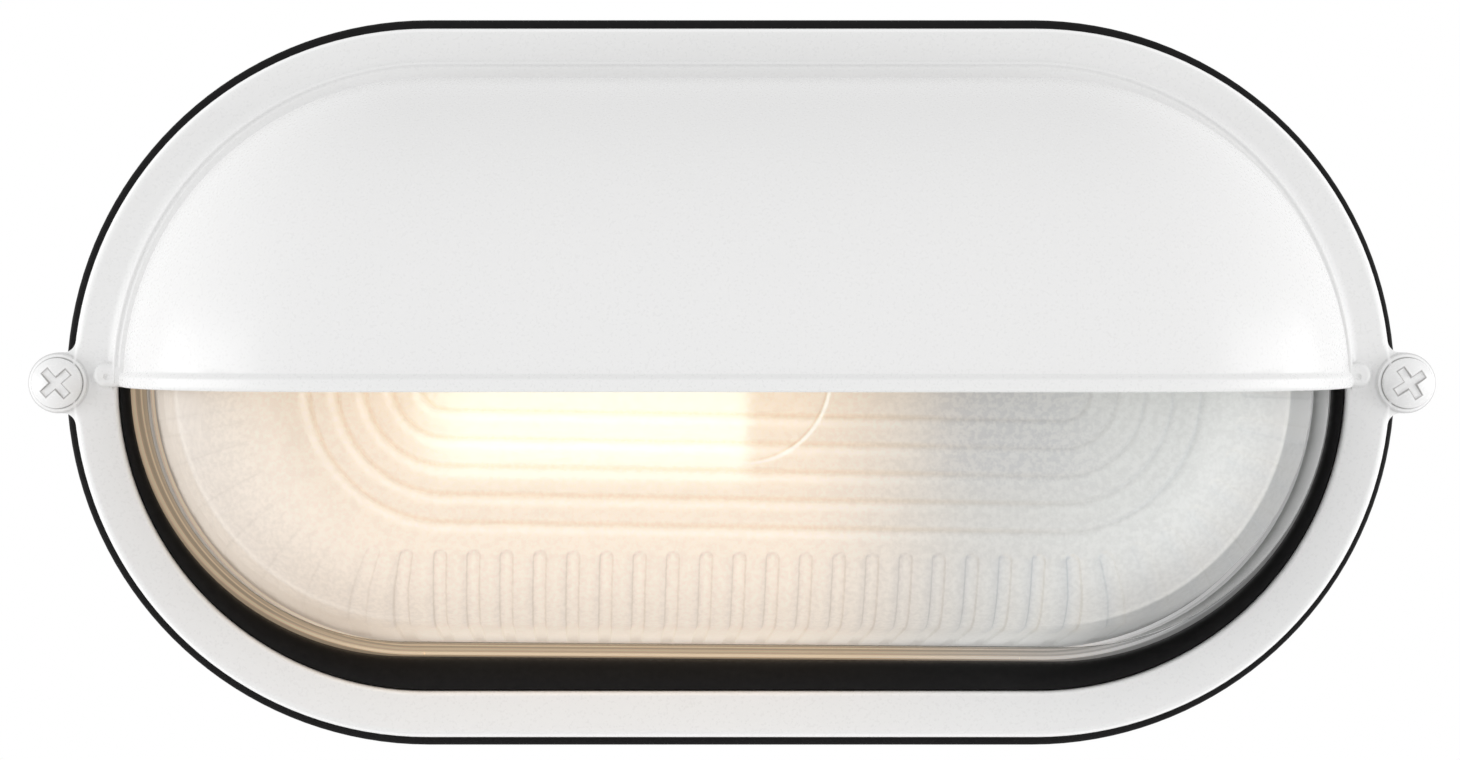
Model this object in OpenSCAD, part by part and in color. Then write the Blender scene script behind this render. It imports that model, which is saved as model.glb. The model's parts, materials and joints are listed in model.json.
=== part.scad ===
// Oval outdoor wall light with a half hood over a ribbed glass.
// Everything is drawn lying on its back: X to the right, Y up the wall, Z out from the wall.
// upright() then stands it up, so that the wall is the plane Y = 0 and the light faces -Y.
// Outlines are stadiums: two round ends of radius r, joined by straights that run from -run to +run.

/* [Housing] */
// Distance from the middle to the centre of each round end
end_run = 46.8; // [46:0.2:60]
// Radius of the round ends of the cover frame
frame_r = 54.5; // [50:0.5:66]
// How far the base wall stands back from the edge of the cover frame
base_inset = 0.5; // [0:0.1:1.5]
// Depth of the base housing
base_depth = 36; // [34:0.2:44]
// Wall thickness of the base housing
base_wall = 3.2; // [2.6:0.2:4]
// Thickness of the back of the base housing
floor_t = 3.2; // [3:0.2:4]
// Rounding of the back edge of the base housing
back_round = 4; // [2:0.5:5]

/* [Gasket] */
// How far the gasket shows beyond the cover frame
gasket_proud = 1.7; // [0.5:0.1:2.5]
// Thickness of each rubber web above and below the glass flange
gasket_web = 1.8; // [1.2:0.1:3]
// How much longer the straight run of the gasket's opening is than the housing's
lip_longer = 3.6; // [2:0.1:4]
// How far the gasket's opening stays inside the edge of the cover frame
lip_inset = 11.9; // [10.5:0.1:13]
// Gap between the rubber and the edge of the glass
glass_gap = 0.15; // [0.1:0.05:0.5]

/* [Glass] */
// Thickness of the glass flange
flange_t = 2.4; // [2:0.2:4]
// How far the edge of the glass flange stays inside the edge of the cover frame
flange_inset = 2.5; // [2:0.1:4]
// How much shorter the flange's straight run is than the housing's
flange_short = 1; // [0.8:0.1:2]
// How much longer the straight run of the glass dome is than the housing's
dome_longer = 2; // [0:0.1:2]
// How far the foot of the glass dome stays inside the edge of the cover frame
dome_inset = 13.3; // [13.2:0.1:15]
// Height of the glass dome above its flange
dome_h = 40.8; // [36:0.4:44]
// Corner radius of the glass dome
dome_corner = 14; // [8:1:18]
// Slope of the side of the glass dome
dome_draft = 6; // [3:0.5:8]
// Wall thickness of the glass
glass_wall = 4; // [2.8:0.2:4.2]
// Number of oval rings inside the crown
ring_count = 5; // [0:1:5]
// Distance from one ring to the next
ring_pitch = 4; // [3:0.2:4.4]
// Width of a ring
ring_w = 1; // [0.6:0.1:1.6]
// Height of the rings
ring_h = 0.4; // [0.2:0.1:1]
// Angle by which the glass sits turned in its gasket
glass_turn = 0.45; // [0:0.05:1]

/* [Cover frame] */
// Thickness of the frame
frame_t = 5; // [4:0.5:7]
// Rounding of the frame's outer edge
frame_round = 1.4; // [0.6:0.2:2]
// How much longer the straight run of the frame's opening is than the housing's
opening_longer = 0.2; // [0:0.1:1]
// Width of the frame round its opening
opening_inset = 7.1; // [6:0.1:8.5]
// Rounding of the opening's edge
opening_round = 0.7; // [0.3:0.1:1.5]

/* [Hood] */
// How much shorter the straight run of the hood is than the housing's
hood_shorter = 1; // [0:0.1:2]
// How far the hood stays inside the edge of the cover frame
hood_inset = 8.1; // [7.5:0.1:9]
// How far the hood stands out from the face of the frame
hood_h = 45.5; // [42:0.5:60]
// Corner radius of the hood
hood_corner = 30; // [15:1:32]
// Wall thickness of the hood
hood_wall = 2; // [1.6:0.2:3]
// Width of the flat step round the foot of the hood
step_w = 2; // [1:0.2:3]
// Height of the step round the foot of the hood
step_h = 1.7; // [1:0.1:3]
// Width of the bead along the lower edge of the hood
bead_d = 2.1; // [1.6:0.1:3]

/* [Ears and cover screws] */
// How far each cover screw stands outside the edge of the cover frame
screw_out = 2.1; // [2:0.1:4]
// Radius of the ears
ear_r = 4.7; // [4.6:0.1:6]
// Radius of the hollow corners where an ear joins the frame
ear_fillet = 2; // [1:0.2:4]
// Depth of the ears on the base
base_ear_h = 20; // [18:1:28]
// Diameter of the cover screws
screw_d = 4; // [3.5:0.5:4]
// Diameter of a cover screw's head
head_d = 7.7; // [6:0.1:8.4]
// Height of a cover screw's head
head_h = 2.6; // [2:0.1:3.2]
// Length of a cover screw under its head
screw_len = 25; // [22:1:28]
// Radius of the raised seat under each head
seat_r = 4.4; // [4.25:0.05:4.6]
// Height of the raised seat under each head
seat_h = 0.8; // [0.4:0.1:1.2]
// Radius of the washers that keep the screws on the cover
retainer_r = 3.6; // [3:0.1:4]
// Thickness of those washers
retainer_t = 1.5; // [1:0.1:2]

/* [Bulb] */
// Diameter of the bulb's globe
globe_d = 60; // [50:1:60]
// Length of the bulb from its contact to the top of its glass
bulb_len = 109; // [100:1:112]
// Height of the bulb's axis over the wall
bulb_z = 42; // [40:0.5:44]
// Place of the bulb's contact, to the right of the middle
bulb_tip_x = 59; // [54:1:64]
// Length of the bulb's cap, with its contact
cap_len = 25; // [24:0.5:27]
// Diameter of the bulb's cap
cap_d = 25.9; // [25.7:0.1:26.1]

/* [Lampholder] */
// Outer radius of the porcelain body
holder_r = 19; // [17:0.5:20]
// Wall of the porcelain round the screw shell
holder_wall = 4.4; // [3:0.2:5]
// Thickness of the porcelain behind the contact
holder_back = 10; // [8:1:14]
// Thickness of the screw shell
shell_t = 0.5; // [0.4:0.1:0.8]
// Gap between the bulb's cap and the screw shell
cap_gap = 0.25; // [0.15:0.05:0.4]
// Width of the bracket
bracket_w = 22; // [18:1:24]
// Thickness of the bracket's sheet
bracket_t = 1.5; // [1:0.1:2]
// Length of the bracket's foot
bracket_foot = 26; // [22:1:30]
// Height of the bosses under the bracket
bracket_boss_h = 4; // [3:0.5:6]

/* [Terminal block] */
// Distance from one pole to the next
pole_pitch = 11; // [10.6:0.2:13.4]
// Length of the block along the poles' bores
block_len = 16; // [14:0.5:18]
// Height of the block
block_h = 13; // [12:0.5:15]
// Middle of the block, to the right of the middle of the light
block_x = 10; // [0:1:14]
// Middle of the block, below the middle of the light
block_y = 39; // [36:0.5:41]
// Diameter of the insulated leads
lead_d = 2.4; // [2:0.1:2.8]

/* [Fixing to the wall] */
// Distance between the two fixing slots
slot_spacing = 164; // [136:0.5:170]
// Width of a fixing slot
slot_w = 5.2; // [4.5:0.1:6]
// Length of a fixing slot
slot_len = 10; // [8:0.5:12]
// Diameter of the cable bore through the grommet
cable_bore = 8; // [6:0.5:10]
// Diameter of the hole that the grommet sits in
entry_d = 16; // [14:0.5:18]

/* [Hidden] */
$fn = 96;
eps = 0.01;
far = 400;

// Heights over the wall
gasket_z = base_depth;
flange_z = gasket_z + gasket_web;
flange_top = flange_z + flange_t;
frame_z = flange_top + gasket_web;
face_z = frame_z + frame_t;
step_z = face_z + step_h;
hood_top = face_z + hood_h;
seat_z = face_z + seat_h;

// Outlines that follow the frame
base_r = frame_r - base_inset;
cavity_r = base_r - base_wall;
cavity_round = 5;
gasket_r = frame_r + gasket_proud;
lip_run = end_run + lip_longer;
lip_r = frame_r - lip_inset;
flange_run = end_run - flange_short;
flange_r = frame_r - flange_inset;
dome_run = end_run + dome_longer;
dome_r = frame_r - dome_inset;
opening_run = end_run + opening_longer;
opening_r = frame_r - opening_inset;
hood_run = end_run - hood_shorter;
hood_r = frame_r - hood_inset;
screw_x = end_run + frame_r + screw_out;

// Width of the rubber web under the glass flange, and the notches that clear the retainers
lower_web_w = 7;
notch_r = retainer_r + 0.6;

// Ears: how deep they are rooted in the housing, and the material under a screw hole
ear_root = 6;
ear_floor = 2;

// Bosses, pads and blind holes in the back of the housing
pad_w = 3;
pad_h = 1.5;
blind_z = 1.4;

// Glass dome section: its crown and the centre of its corner arc
dome_top = flange_top + dome_h;
dome_zc = dome_top - dome_corner;
dome_rc = corner_r(dome_r, flange_top, dome_zc, dome_corner, dome_draft);

// Hood section, likewise, and the bead on its edge: how deep it sits in the wall and where
hood_zc = hood_top - hood_corner;
hood_rc = hood_r - hood_corner;
bead_r = bead_d / 2;
bead_out = bead_r - 0.4;
bead_in = bead_r + 0.4;
bead_y = bead_r - 0.6;
bead_foot_r = 1.8;
bead_foot_len = 3;

// Screws and threads
thread_gap = 0.05;
hole_gap = 0.25;
shank_r = screw_d / 2 - thread_gap;
screw_hole_r = screw_d / 2 + hole_gap;
recess_span = 4.8;
recess_w = 1.2;
recess_depth = 1.4;

// Bulb and lampholder
globe_r = globe_d / 2;
neck_r = 14;
contact_r = 4.5;
contact_h = 1;
cap_taper = 5;
neck_fillet = 40;
globe_u = bulb_len - globe_r;
fillet_u = globe_u - sqrt(pow(globe_r + neck_fillet, 2) - pow(neck_r + neck_fillet, 2));
cap_r = cap_d / 2;
shell_r = cap_r + cap_gap;
shell_out = shell_r + shell_t;
holder_bore = holder_r - holder_wall;
holder_rim = 4;
holder_chamfer = 2;
mouth_x = bulb_tip_x - cap_len - 1;
shell_floor_r = 8;
contact_depth = 3;
holder_floor = bulb_tip_x + contact_depth;
holder_end = holder_floor + holder_back;
terminal_y = holder_r - 4;
holder_screw_dz = 9;
small_r = 1.6;
small_hole_r = small_r + thread_gap;
small_clear_r = small_r + hole_gap;
small_head_r = 3.1;
small_head_h = 2;
small_len = 7;

// Bracket and its bosses
foot_z = floor_t + bracket_boss_h;
foot_x = holder_end + bracket_t - bracket_foot;
foot_screw_x = foot_x + 6;
foot_screw_y = bracket_w / 2 - 5;
boss_r = 4.2;
bracket_top = bulb_z + holder_screw_dz + 5;
bend_r = 2;
bend_z = foot_z + bracket_t + bend_r;

// Terminal block
poles = 3;
block_z = floor_t + pad_h;
block_w = poles * pole_pitch;
insert_r = 2.2;
insert_bore = 1.4;
web_h = 6;
web_w = 8;
tower_w = 2 * insert_r + 1.8;
block_screw_x = block_x - pole_pitch / 2;
insert_z = block_z + 5.6;
insert_len = block_len - 3;
clamp_dy = 4;
clamp_r = 1.25;
clamp_hole_r = clamp_r + thread_gap;
clamp_top = block_z + block_h - 1;

// Earth point
earth_x = -34;
earth_y = -36;
earth_boss_h = 4.8;
earth_z = floor_t + earth_boss_h;
lug_t = 0.8;
washer_t = 0.5;

// Grommet
grommet_lip = 1.3;
grommet_flange = entry_d / 2 + 2;
recess_r = grommet_flange + 0.3;

// Leads: routes chosen by hand, in the lying frame
lead_sides = 8;
lead_steps = 3;
lead_z = insert_z;
block_side = -block_y + block_len / 2;
live_x = block_x + pole_pitch;
neutral_x = block_x;
earth_pole_x = block_x - pole_pitch;
terminal_x = holder_end + 1.3;
lead_start_y = terminal_y + small_head_r + 0.3;
neutral_route = [
  [terminal_x, -lead_start_y, bulb_z],
  [terminal_x, -lead_start_y - 2, bulb_z],
  [terminal_x + 1, -21, 36],
  [76, -25, 26],
  [75, -28, 12],
  [64, -27, 7],
  [46, -25, 7],
  [28, -21, 7],
  [14, -20, 8],
  [neutral_x, -24, lead_z],
  [neutral_x, block_side, lead_z]
];
live_route = [
  [terminal_x, lead_start_y, bulb_z],
  [terminal_x, lead_start_y + 2, bulb_z],
  [terminal_x + 1, 21, 36],
  [80, 24, 26],
  [88, 19, 16],
  [91, 10, 11],
  [91, -8, 8],
  [84, -25, 8],
  [70, -34, 7],
  [50, -33, 7],
  [34, -26, 7],
  [24, -23, 8],
  [live_x, -26, lead_z],
  [live_x, block_side, lead_z]
];
earth_route = [
  [earth_pole_x, block_side, lead_z],
  [earth_pole_x, -24, lead_z],
  [-8, -20, 10],
  [-18, -22, 9],
  [-25, -29, 9],
  [earth_x + 6.6, earth_y + 3.4, earth_z + lug_t + lead_d / 2 + 0.1]
];

// Centre radius of a corner arc whose side runs down at the draft angle to radius r at height z
function corner_r(r, z, zc, corner, draft) =
  r - (zc + corner * sin(draft) - z) * tan(draft) - corner * cos(draft);

// Smooth curve through a list of points
function curve_point(a, b, c, d, t) =
  0.5 * (2 * b + (c - a) * t + (2 * a - 5 * b + 4 * c - d) * t * t
  + (3 * b - 3 * c + d - a) * t * t * t);
function smooth(p, steps) = [
  for (i = [0:len(p) - 2], k = [0:steps - 1])
    curve_point(p[max(i - 1, 0)], p[i], p[i + 1], p[min(i + 2, len(p) - 1)], k / steps),
  p[len(p) - 1]
];
function unit(v) = v / norm(v);
function along(p, i) = unit(p[min(i + 1, len(p) - 1)] - p[max(i - 1, 0)]);
function side_of(n, t) = unit(n - t * (n * t));
function sides(p, i, n) =
  i >= len(p) ? [] : let (s = side_of(n, along(p, i))) concat([s], sides(p, i + 1, s));

// Round tube swept along a list of points
module tube(route, d) {
  p = smooth(route, lead_steps);
  n = sides(p, 0, [0.1, 0.2, 1]);
  last = len(p) - 1;
  points = [
    for (i = [0:last], k = [0:lead_sides - 1])
      let (a = 360 * k / lead_sides)
      p[i] + d / 2 * (cos(a) * n[i] + sin(a) * cross(along(p, i), n[i]))
  ];
  walls = [
    for (i = [0:last - 1], k = [0:lead_sides - 1])
      let (j = (k + 1) % lead_sides)
      [i * lead_sides + k, (i + 1) * lead_sides + k, (i + 1) * lead_sides + j, i * lead_sides + j]
  ];
  start = [for (k = [0:lead_sides - 1]) k];
  end = [for (k = [lead_sides - 1:-1:0]) last * lead_sides + k];
  polyhedron(points, concat(walls, [start, end]));
}

// Stand the light up against the wall
module upright() {
  rotate([90, 0, 0]) children();
}

// Flat stadium outline
module stadium(run, r) {
  translate([-run, 0]) circle(r);
  translate([run, 0]) circle(r);
  translate([-run, -r]) square([2 * run, 2 * r]);
}

// Sweep a section, drawn as radius and height, round the upper half of a stadium
module half_sweep(run) {
  translate([run, 0, 0]) rotate_extrude(angle = 90) children();
  translate([-run, 0, 0]) rotate([0, 0, 90]) rotate_extrude(angle = 90) children();
  translate([-run, 0, 0]) rotate([90, 0, 90]) linear_extrude(2 * run) children();
}

// The same all the way round
module full_sweep(run) {
  half_sweep(run) children();
  rotate([0, 0, 180]) half_sweep(run) children();
}

// Section of a dome with a round corner and sides that lean in by the draft, from height z0 up
module dome_section(rc, zc, corner, draft, z0) {
  tip_r = rc + corner * cos(draft);
  tip_z = zc + corner * sin(draft);
  foot = tip_r + (tip_z - z0) * tan(draft);
  polygon([[0, z0], [foot, z0], [tip_r, tip_z], [rc, zc], [rc, zc + corner], [0, zc + corner]]);
  intersection() {
    translate([rc, zc]) circle(corner);
    polygon([[rc, zc], [rc + far * cos(draft), zc + far * sin(draft)], [rc, zc + far]]);
  }
}

// Flat outline of one ear with its hollow corners, out to screw x, on a round end of radius r
module ear_outline(r) {
  span = screw_x - end_run;
  reach = r + ear_fillet;
  u = (pow(reach, 2) - pow(ear_r + ear_fillet, 2) + pow(span, 2)) / (2 * span);
  v = sqrt(pow(reach, 2) - pow(u, 2));
  translate([screw_x, 0]) circle(ear_r);
  difference() {
    polygon([[end_run + r - ear_root, 0], [end_run + u, v], [screw_x, 0], [end_run + u, -v]]);
    translate([end_run + u, v]) circle(ear_fillet);
    translate([end_run + u, -v]) circle(ear_fillet);
  }
}

// Put something at both ends of the light
module both_ends() {
  children();
  mirror([1, 0, 0]) children();
}

// Pan head with a domed top, standing on z = 0
module pan_head(r, h) {
  rim = 0.45 * h;
  top = h - rim;
  ball = (r * r + top * top) / (2 * top);
  rotate_extrude() {
    intersection() {
      translate([0, h - ball]) circle(ball);
      square([r, h]);
    }
  }
}

// Cross recess cut down from height h
module cross_recess(span, w, depth, h) {
  for (a = [0, 90]) {
    rotate([0, 0, a]) translate([-span / 2, -w / 2, h - depth]) cube([span, w, depth + 1]);
  }
  translate([0, 0, h - depth]) cylinder(depth + 1, 0.6 * w, 1.15 * w, $fn = 32);
}

// Machine screw: head up from z = 0, shank down from it
module screw(d_head, h_head, r_shank, length, turn) {
  difference() {
    pan_head(d_head / 2, h_head);
    rotate([0, 0, turn]) cross_recess(recess_span * d_head / head_d, recess_w, recess_depth, h_head);
  }
  translate([0, 0, -length]) cylinder(length, r_shank, r_shank);
}

// Small slotted screw, the same way
module slotted_screw(r_head, h_head, r_shank, length, turn) {
  difference() {
    cylinder(h_head, r_head, r_head);
    rotate([0, 0, turn]) translate([-r_head - 1, -0.35, 0.5 * h_head]) cube([2 * r_head + 2, 0.7, h_head]);
  }
  translate([0, 0, -length]) cylinder(length, r_shank, r_shank);
}

// Turn a piece so that its own Z runs along +X on the bulb's axis
module along_bulb(x) {
  translate([x, 0, bulb_z]) rotate([0, 90, 0]) children();
}

module base_section() {
  difference() {
    union() {
      translate([0, back_round]) square([base_r, base_depth - back_round]);
      square([base_r - back_round, back_round]);
      translate([base_r - back_round, back_round]) circle(back_round);
    }
    translate([0, floor_t + cavity_round]) square([cavity_r, base_depth]);
    translate([0, floor_t]) square([cavity_r - cavity_round, base_depth]);
    translate([cavity_r - cavity_round, floor_t + cavity_round]) circle(cavity_round);
  }
}

module base_ear() {
  translate([0, 0, base_depth - base_ear_h]) linear_extrude(base_ear_h) ear_outline(base_r);
}

module slot_outline(grow) {
  stadium((slot_len - slot_w) / 2, slot_w / 2 + grow);
}

module base_bosses() {
  for (y = [-foot_screw_y, foot_screw_y]) {
    translate([foot_screw_x, y, 0]) cylinder(foot_z, boss_r, boss_r);
  }
  translate([earth_x, earth_y, 0]) cylinder(earth_z, boss_r, boss_r);
  translate([block_x - block_w / 2, -block_y - block_len / 2, 1]) cube([block_w, block_len, block_z - 1]);
  for (x = [-slot_spacing / 2, slot_spacing / 2]) {
    translate([x, 0, 0]) linear_extrude(floor_t + pad_h) slot_outline(pad_w);
  }
}

module base_holes() {
  for (x = [-slot_spacing / 2, slot_spacing / 2]) {
    translate([x, 0, -1]) linear_extrude(far) slot_outline(0);
  }
  translate([0, 0, -1]) cylinder(far, entry_d / 2, entry_d / 2);
  translate([0, 0, -1]) cylinder(grommet_lip + 1, recess_r, recess_r);
  for (y = [-foot_screw_y, foot_screw_y]) {
    translate([foot_screw_x, y, blind_z]) cylinder(far, small_hole_r, small_hole_r);
  }
  translate([earth_x, earth_y, blind_z]) cylinder(far, small_hole_r, small_hole_r);
  translate([block_screw_x, -block_y, blind_z]) cylinder(far, clamp_hole_r, clamp_hole_r);
  both_ends() {
    translate([screw_x, 0, base_depth - base_ear_h + ear_floor]) cylinder(far, screw_d / 2, screw_d / 2);
  }
}

module base_housing() {
  color("white") upright() difference() {
    union() {
      full_sweep(end_run) base_section();
      both_ends() base_ear();
      base_bosses();
    }
    base_holes();
  }
}

module cable_grommet() {
  color("dimgray") upright() difference() {
    union() {
      cylinder(floor_t + grommet_lip, entry_d / 2, entry_d / 2);
      translate([0, 0, floor_t]) cylinder(grommet_lip, grommet_flange, grommet_flange);
      cylinder(grommet_lip, grommet_flange, grommet_flange);
    }
    translate([0, 0, -1]) cylinder(far, cable_bore / 2, cable_bore / 2);
  }
}

module gasket_layer(z, h) {
  translate([0, 0, z]) linear_extrude(h) difference() {
    stadium(end_run, gasket_r);
    both_ends() translate([screw_x, 0]) circle(notch_r);
    children();
  }
}

module cover_gasket() {
  color([0.12, 0.12, 0.12]) upright() {
    gasket_layer(gasket_z, gasket_web) stadium(end_run, frame_r - lower_web_w);
    gasket_layer(flange_z, flange_t) rotate(-glass_turn) stadium(flange_run, flange_r + glass_gap);
    gasket_layer(flange_top, gasket_web) rotate(-glass_turn) stadium(lip_run, lip_r);
  }
}

module glass_rings() {
  for (i = [1:1:ring_count]) {
    translate([0, 0, dome_top - glass_wall - ring_h]) linear_extrude(ring_h + 1) difference() {
      stadium(dome_run, i * ring_pitch + ring_w / 2);
      stadium(dome_run, i * ring_pitch - ring_w / 2);
    }
  }
}

module glass_lens() {
  color([0.9, 0.88, 0.84, 0.6]) upright() rotate([0, 0, -glass_turn]) {
    difference() {
      union() {
        translate([0, 0, flange_z]) linear_extrude(flange_t) stadium(flange_run, flange_r);
        full_sweep(dome_run) dome_section(dome_rc, dome_zc, dome_corner, dome_draft, flange_z + 1);
      }
      full_sweep(dome_run) {
        dome_section(dome_rc, dome_zc, dome_corner - glass_wall, dome_draft, flange_z - 1);
      }
    }
    glass_rings();
  }
}

// Frame plate with a rounded front edge
module frame_plate() {
  full_sweep(end_run) {
    translate([0, frame_z]) square([frame_r, frame_t - frame_round]);
    translate([0, frame_z]) square([frame_r - frame_round, frame_t]);
    translate([frame_r - frame_round, face_z - frame_round]) circle(frame_round);
  }
  both_ends() {
    translate([0, 0, frame_z]) linear_extrude(frame_t) ear_outline(frame_r);
    translate([screw_x, 0, frame_z]) cylinder(frame_t + seat_h, seat_r, seat_r);
  }
}

// Opening under the hood, with its rounded edge
module lower_opening() {
  rotate([0, 0, 180]) half_sweep(opening_run) {
    translate([0, frame_z - 1]) square([opening_r, frame_t + 2]);
    translate([opening_r, face_z - opening_round]) difference() {
      square([opening_round, opening_round + 1]);
      translate([opening_round, 0]) circle(opening_round);
    }
  }
}

// Step round the foot of the hood, with a hollow corner down to the frame
module hood_step() {
  half_sweep(hood_run) {
    translate([0, frame_z]) square([hood_r + step_w, step_z - frame_z]);
    translate([hood_r + step_w, face_z - eps]) difference() {
      square([step_h, step_h + eps]);
      translate([step_h, step_h + eps]) circle(step_h);
    }
  }
}

// Section of the hood, made thicker or thinner by grow
module hood_section(grow, z0) {
  dome_section(hood_rc, hood_zc, hood_corner + grow, 0, z0);
}

module hood_solid(grow, z0) {
  half_sweep(hood_run) hood_section(grow, z0);
}

// Outline of the hood seen from below
module hood_arch(grow, z0) {
  both_ends() translate([hood_run, 0]) hood_section(grow, z0);
  translate([-hood_run, z0]) square([2 * hood_run, hood_top + grow - z0]);
}

// Raised band along the free edge, up one side, across the front and down the other
module hood_bead() {
  translate([0, bead_y + bead_r, 0]) rotate([90, 0, 0]) linear_extrude(bead_d) difference() {
    hood_arch(bead_out, face_z - 1);
    hood_arch(-bead_in, face_z - 2);
  }
}

// Rounded foot where the bead lands on the frame
module bead_foot() {
  translate([hood_run + hood_r - 1, bead_y - bead_foot_r, face_z - 1]) {
    cube([bead_foot_len + 1, 2 * bead_foot_r, step_h + 1]);
    translate([bead_foot_len + 1, bead_foot_r, 0]) cylinder(step_h + 1, bead_foot_r, bead_foot_r);
  }
}

module cover_frame() {
  color("white") upright() difference() {
    union() {
      difference() {
        union() {
          frame_plate();
          hood_step();
          hood_solid(0, face_z);
        }
        hood_solid(-hood_wall, frame_z - 1);
        lower_opening();
      }
      hood_bead();
      both_ends() bead_foot();
    }
    both_ends() translate([screw_x, 0, 0]) cylinder(far, screw_hole_r, screw_hole_r);
  }
}

module cover_screw(side, turn) {
  color("white") upright() translate([side * screw_x, 0, seat_z]) {
    screw(head_d, head_h, shank_r, screw_len, turn);
  }
}

module cover_screw_left() {
  cover_screw(-1, 42);
}

module cover_screw_right() {
  cover_screw(1, 33);
}

module screw_retainer(side) {
  color("ivory") upright() translate([side * screw_x, 0, frame_z - retainer_t]) difference() {
    cylinder(retainer_t, retainer_r, retainer_r);
    translate([0, 0, -1]) cylinder(retainer_t + 2, screw_d / 2, screw_d / 2);
  }
}

module screw_retainer_left() {
  screw_retainer(-1);
}

module screw_retainer_right() {
  screw_retainer(1);
}

// Half outline of the bulb: length from its contact, radius
module bulb_section() {
  fillet_r = neck_r + neck_fillet;
  share = globe_r / (globe_r + neck_fillet);
  tangent_u = globe_u - (globe_u - fillet_u) * share;
  difference() {
    polygon([
      [0, 0],
      [contact_r, 0],
      [contact_r, contact_h],
      [cap_r, cap_taper],
      [cap_r, cap_len],
      [neck_r, cap_len],
      [neck_r, fillet_u],
      [fillet_r, fillet_u],
      [fillet_r * share, tangent_u],
      [0, tangent_u]
    ]);
    translate([fillet_r, fillet_u]) circle(neck_fillet);
  }
  intersection() {
    translate([0, globe_u]) circle(globe_r);
    square([far, far]);
  }
}

module bulb() {
  color([1, 0.95, 0.85]) upright() translate([bulb_tip_x, 0, bulb_z]) rotate([0, -90, 0]) {
    rotate_extrude() bulb_section();
  }
}

module lampholder_body() {
  length = holder_end - mouth_x;
  color("ghostwhite") upright() difference() {
    along_bulb(mouth_x) {
      cylinder(length - holder_chamfer, holder_r, holder_r);
      translate([0, 0, length - holder_chamfer]) {
        cylinder(holder_chamfer, holder_r, holder_r - holder_chamfer);
      }
      cylinder(holder_rim, holder_r + 1, holder_r + 1);
    }
    along_bulb(mouth_x - 1) cylinder(holder_floor - mouth_x + 1, holder_bore, holder_bore);
    for (side = [-1, 1]) {
      translate([holder_end, side * terminal_y, bulb_z]) rotate([0, -90, 0]) {
        cylinder(small_len, small_hole_r, small_hole_r);
      }
      translate([holder_end, 0, bulb_z + side * holder_screw_dz]) rotate([0, -90, 0]) {
        cylinder(small_len, small_hole_r, small_hole_r);
      }
    }
  }
}

module lampholder_shell() {
  depth = cap_len - 3;
  color("gold") upright() along_bulb(mouth_x + 2) difference() {
    cylinder(depth, shell_out, shell_out);
    translate([0, 0, -1]) cylinder(depth + 1 - shell_t, shell_r, shell_r);
    cylinder(far, shell_floor_r, shell_floor_r);
  }
}

// Brass strip folded to a U, whose free tongue touches the bulb's contact
module lampholder_contact() {
  t = 0.6;
  w = 7;
  top = 5;
  color("goldenrod") upright() translate([0, w / 2, bulb_z]) rotate([90, 0, 0]) linear_extrude(w) {
    translate([holder_floor - t, -top - 1]) square([t, 2 * top + 1]);
    translate([bulb_tip_x, top - t]) square([contact_depth, t]);
    translate([bulb_tip_x, -3]) square([t, top + 3]);
  }
}

module lampholder_terminal_screws() {
  color("gold") upright() for (side = [-1, 1]) {
    translate([holder_end, side * terminal_y, bulb_z]) rotate([0, 90, 0]) {
      slotted_screw(small_head_r, small_head_h, small_r, 5, 20 + 50 * side);
    }
  }
}

module lampholder_screws() {
  color("silver") upright() for (side = [-1, 1]) {
    translate([holder_end + bracket_t, 0, bulb_z + side * holder_screw_dz]) rotate([0, 90, 0]) {
      screw(2 * small_head_r, small_head_h, small_r, small_len, 15 * side);
    }
  }
}

// Folded strap: an upright behind the lampholder and a foot under it
module lampholder_bracket() {
  x0 = holder_end;
  color("silver") upright() difference() {
    translate([0, bracket_w / 2, 0]) rotate([90, 0, 0]) linear_extrude(bracket_w) {
      translate([x0, bend_z]) square([bracket_t, bracket_top - bend_z]);
      translate([foot_x, foot_z]) square([x0 - bend_r - foot_x, bracket_t]);
      translate([x0 - bend_r, bend_z]) intersection() {
        difference() {
          circle(bend_r + bracket_t);
          circle(bend_r);
        }
        translate([0, -far]) square([far, far]);
      }
    }
    for (side = [-1, 1]) {
      translate([foot_screw_x, side * foot_screw_y, 0]) {
        cylinder(foot_z + 4, small_clear_r, small_clear_r);
      }
      translate([x0 - 1, 0, bulb_z + side * holder_screw_dz]) rotate([0, 90, 0]) {
        cylinder(4, small_clear_r, small_clear_r);
      }
    }
  }
}

module bracket_screws() {
  color("silver") upright() for (side = [-1, 1]) {
    translate([foot_screw_x, side * foot_screw_y, foot_z + bracket_t]) {
      screw(2 * small_head_r, small_head_h, small_r, 6, 25 * side);
    }
  }
}

// Middle of each pole, from left to right
module at_poles() {
  for (i = [0:poles - 1]) {
    translate([block_x + (i - (poles - 1) / 2) * pole_pitch, -block_y, 0]) children();
  }
}

module terminal_block() {
  color("whitesmoke") upright() difference() {
    union() {
      translate([block_x - block_w / 2, -block_y - web_w / 2, block_z]) cube([block_w, web_w, web_h]);
      at_poles() translate([-tower_w / 2, -block_len / 2, block_z]) cube([tower_w, block_len, block_h]);
    }
    at_poles() {
      translate([0, block_len, insert_z]) rotate([90, 0, 0]) {
        cylinder(2 * block_len, insert_r + 0.1, insert_r + 0.1);
      }
      for (side = [-1, 1]) {
        translate([0, side * clamp_dy, insert_z]) cylinder(far, clamp_r + 0.6, clamp_r + 0.6);
      }
    }
    translate([block_screw_x, -block_y, 0]) cylinder(far, clamp_r + hole_gap, clamp_r + hole_gap);
  }
}

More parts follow.
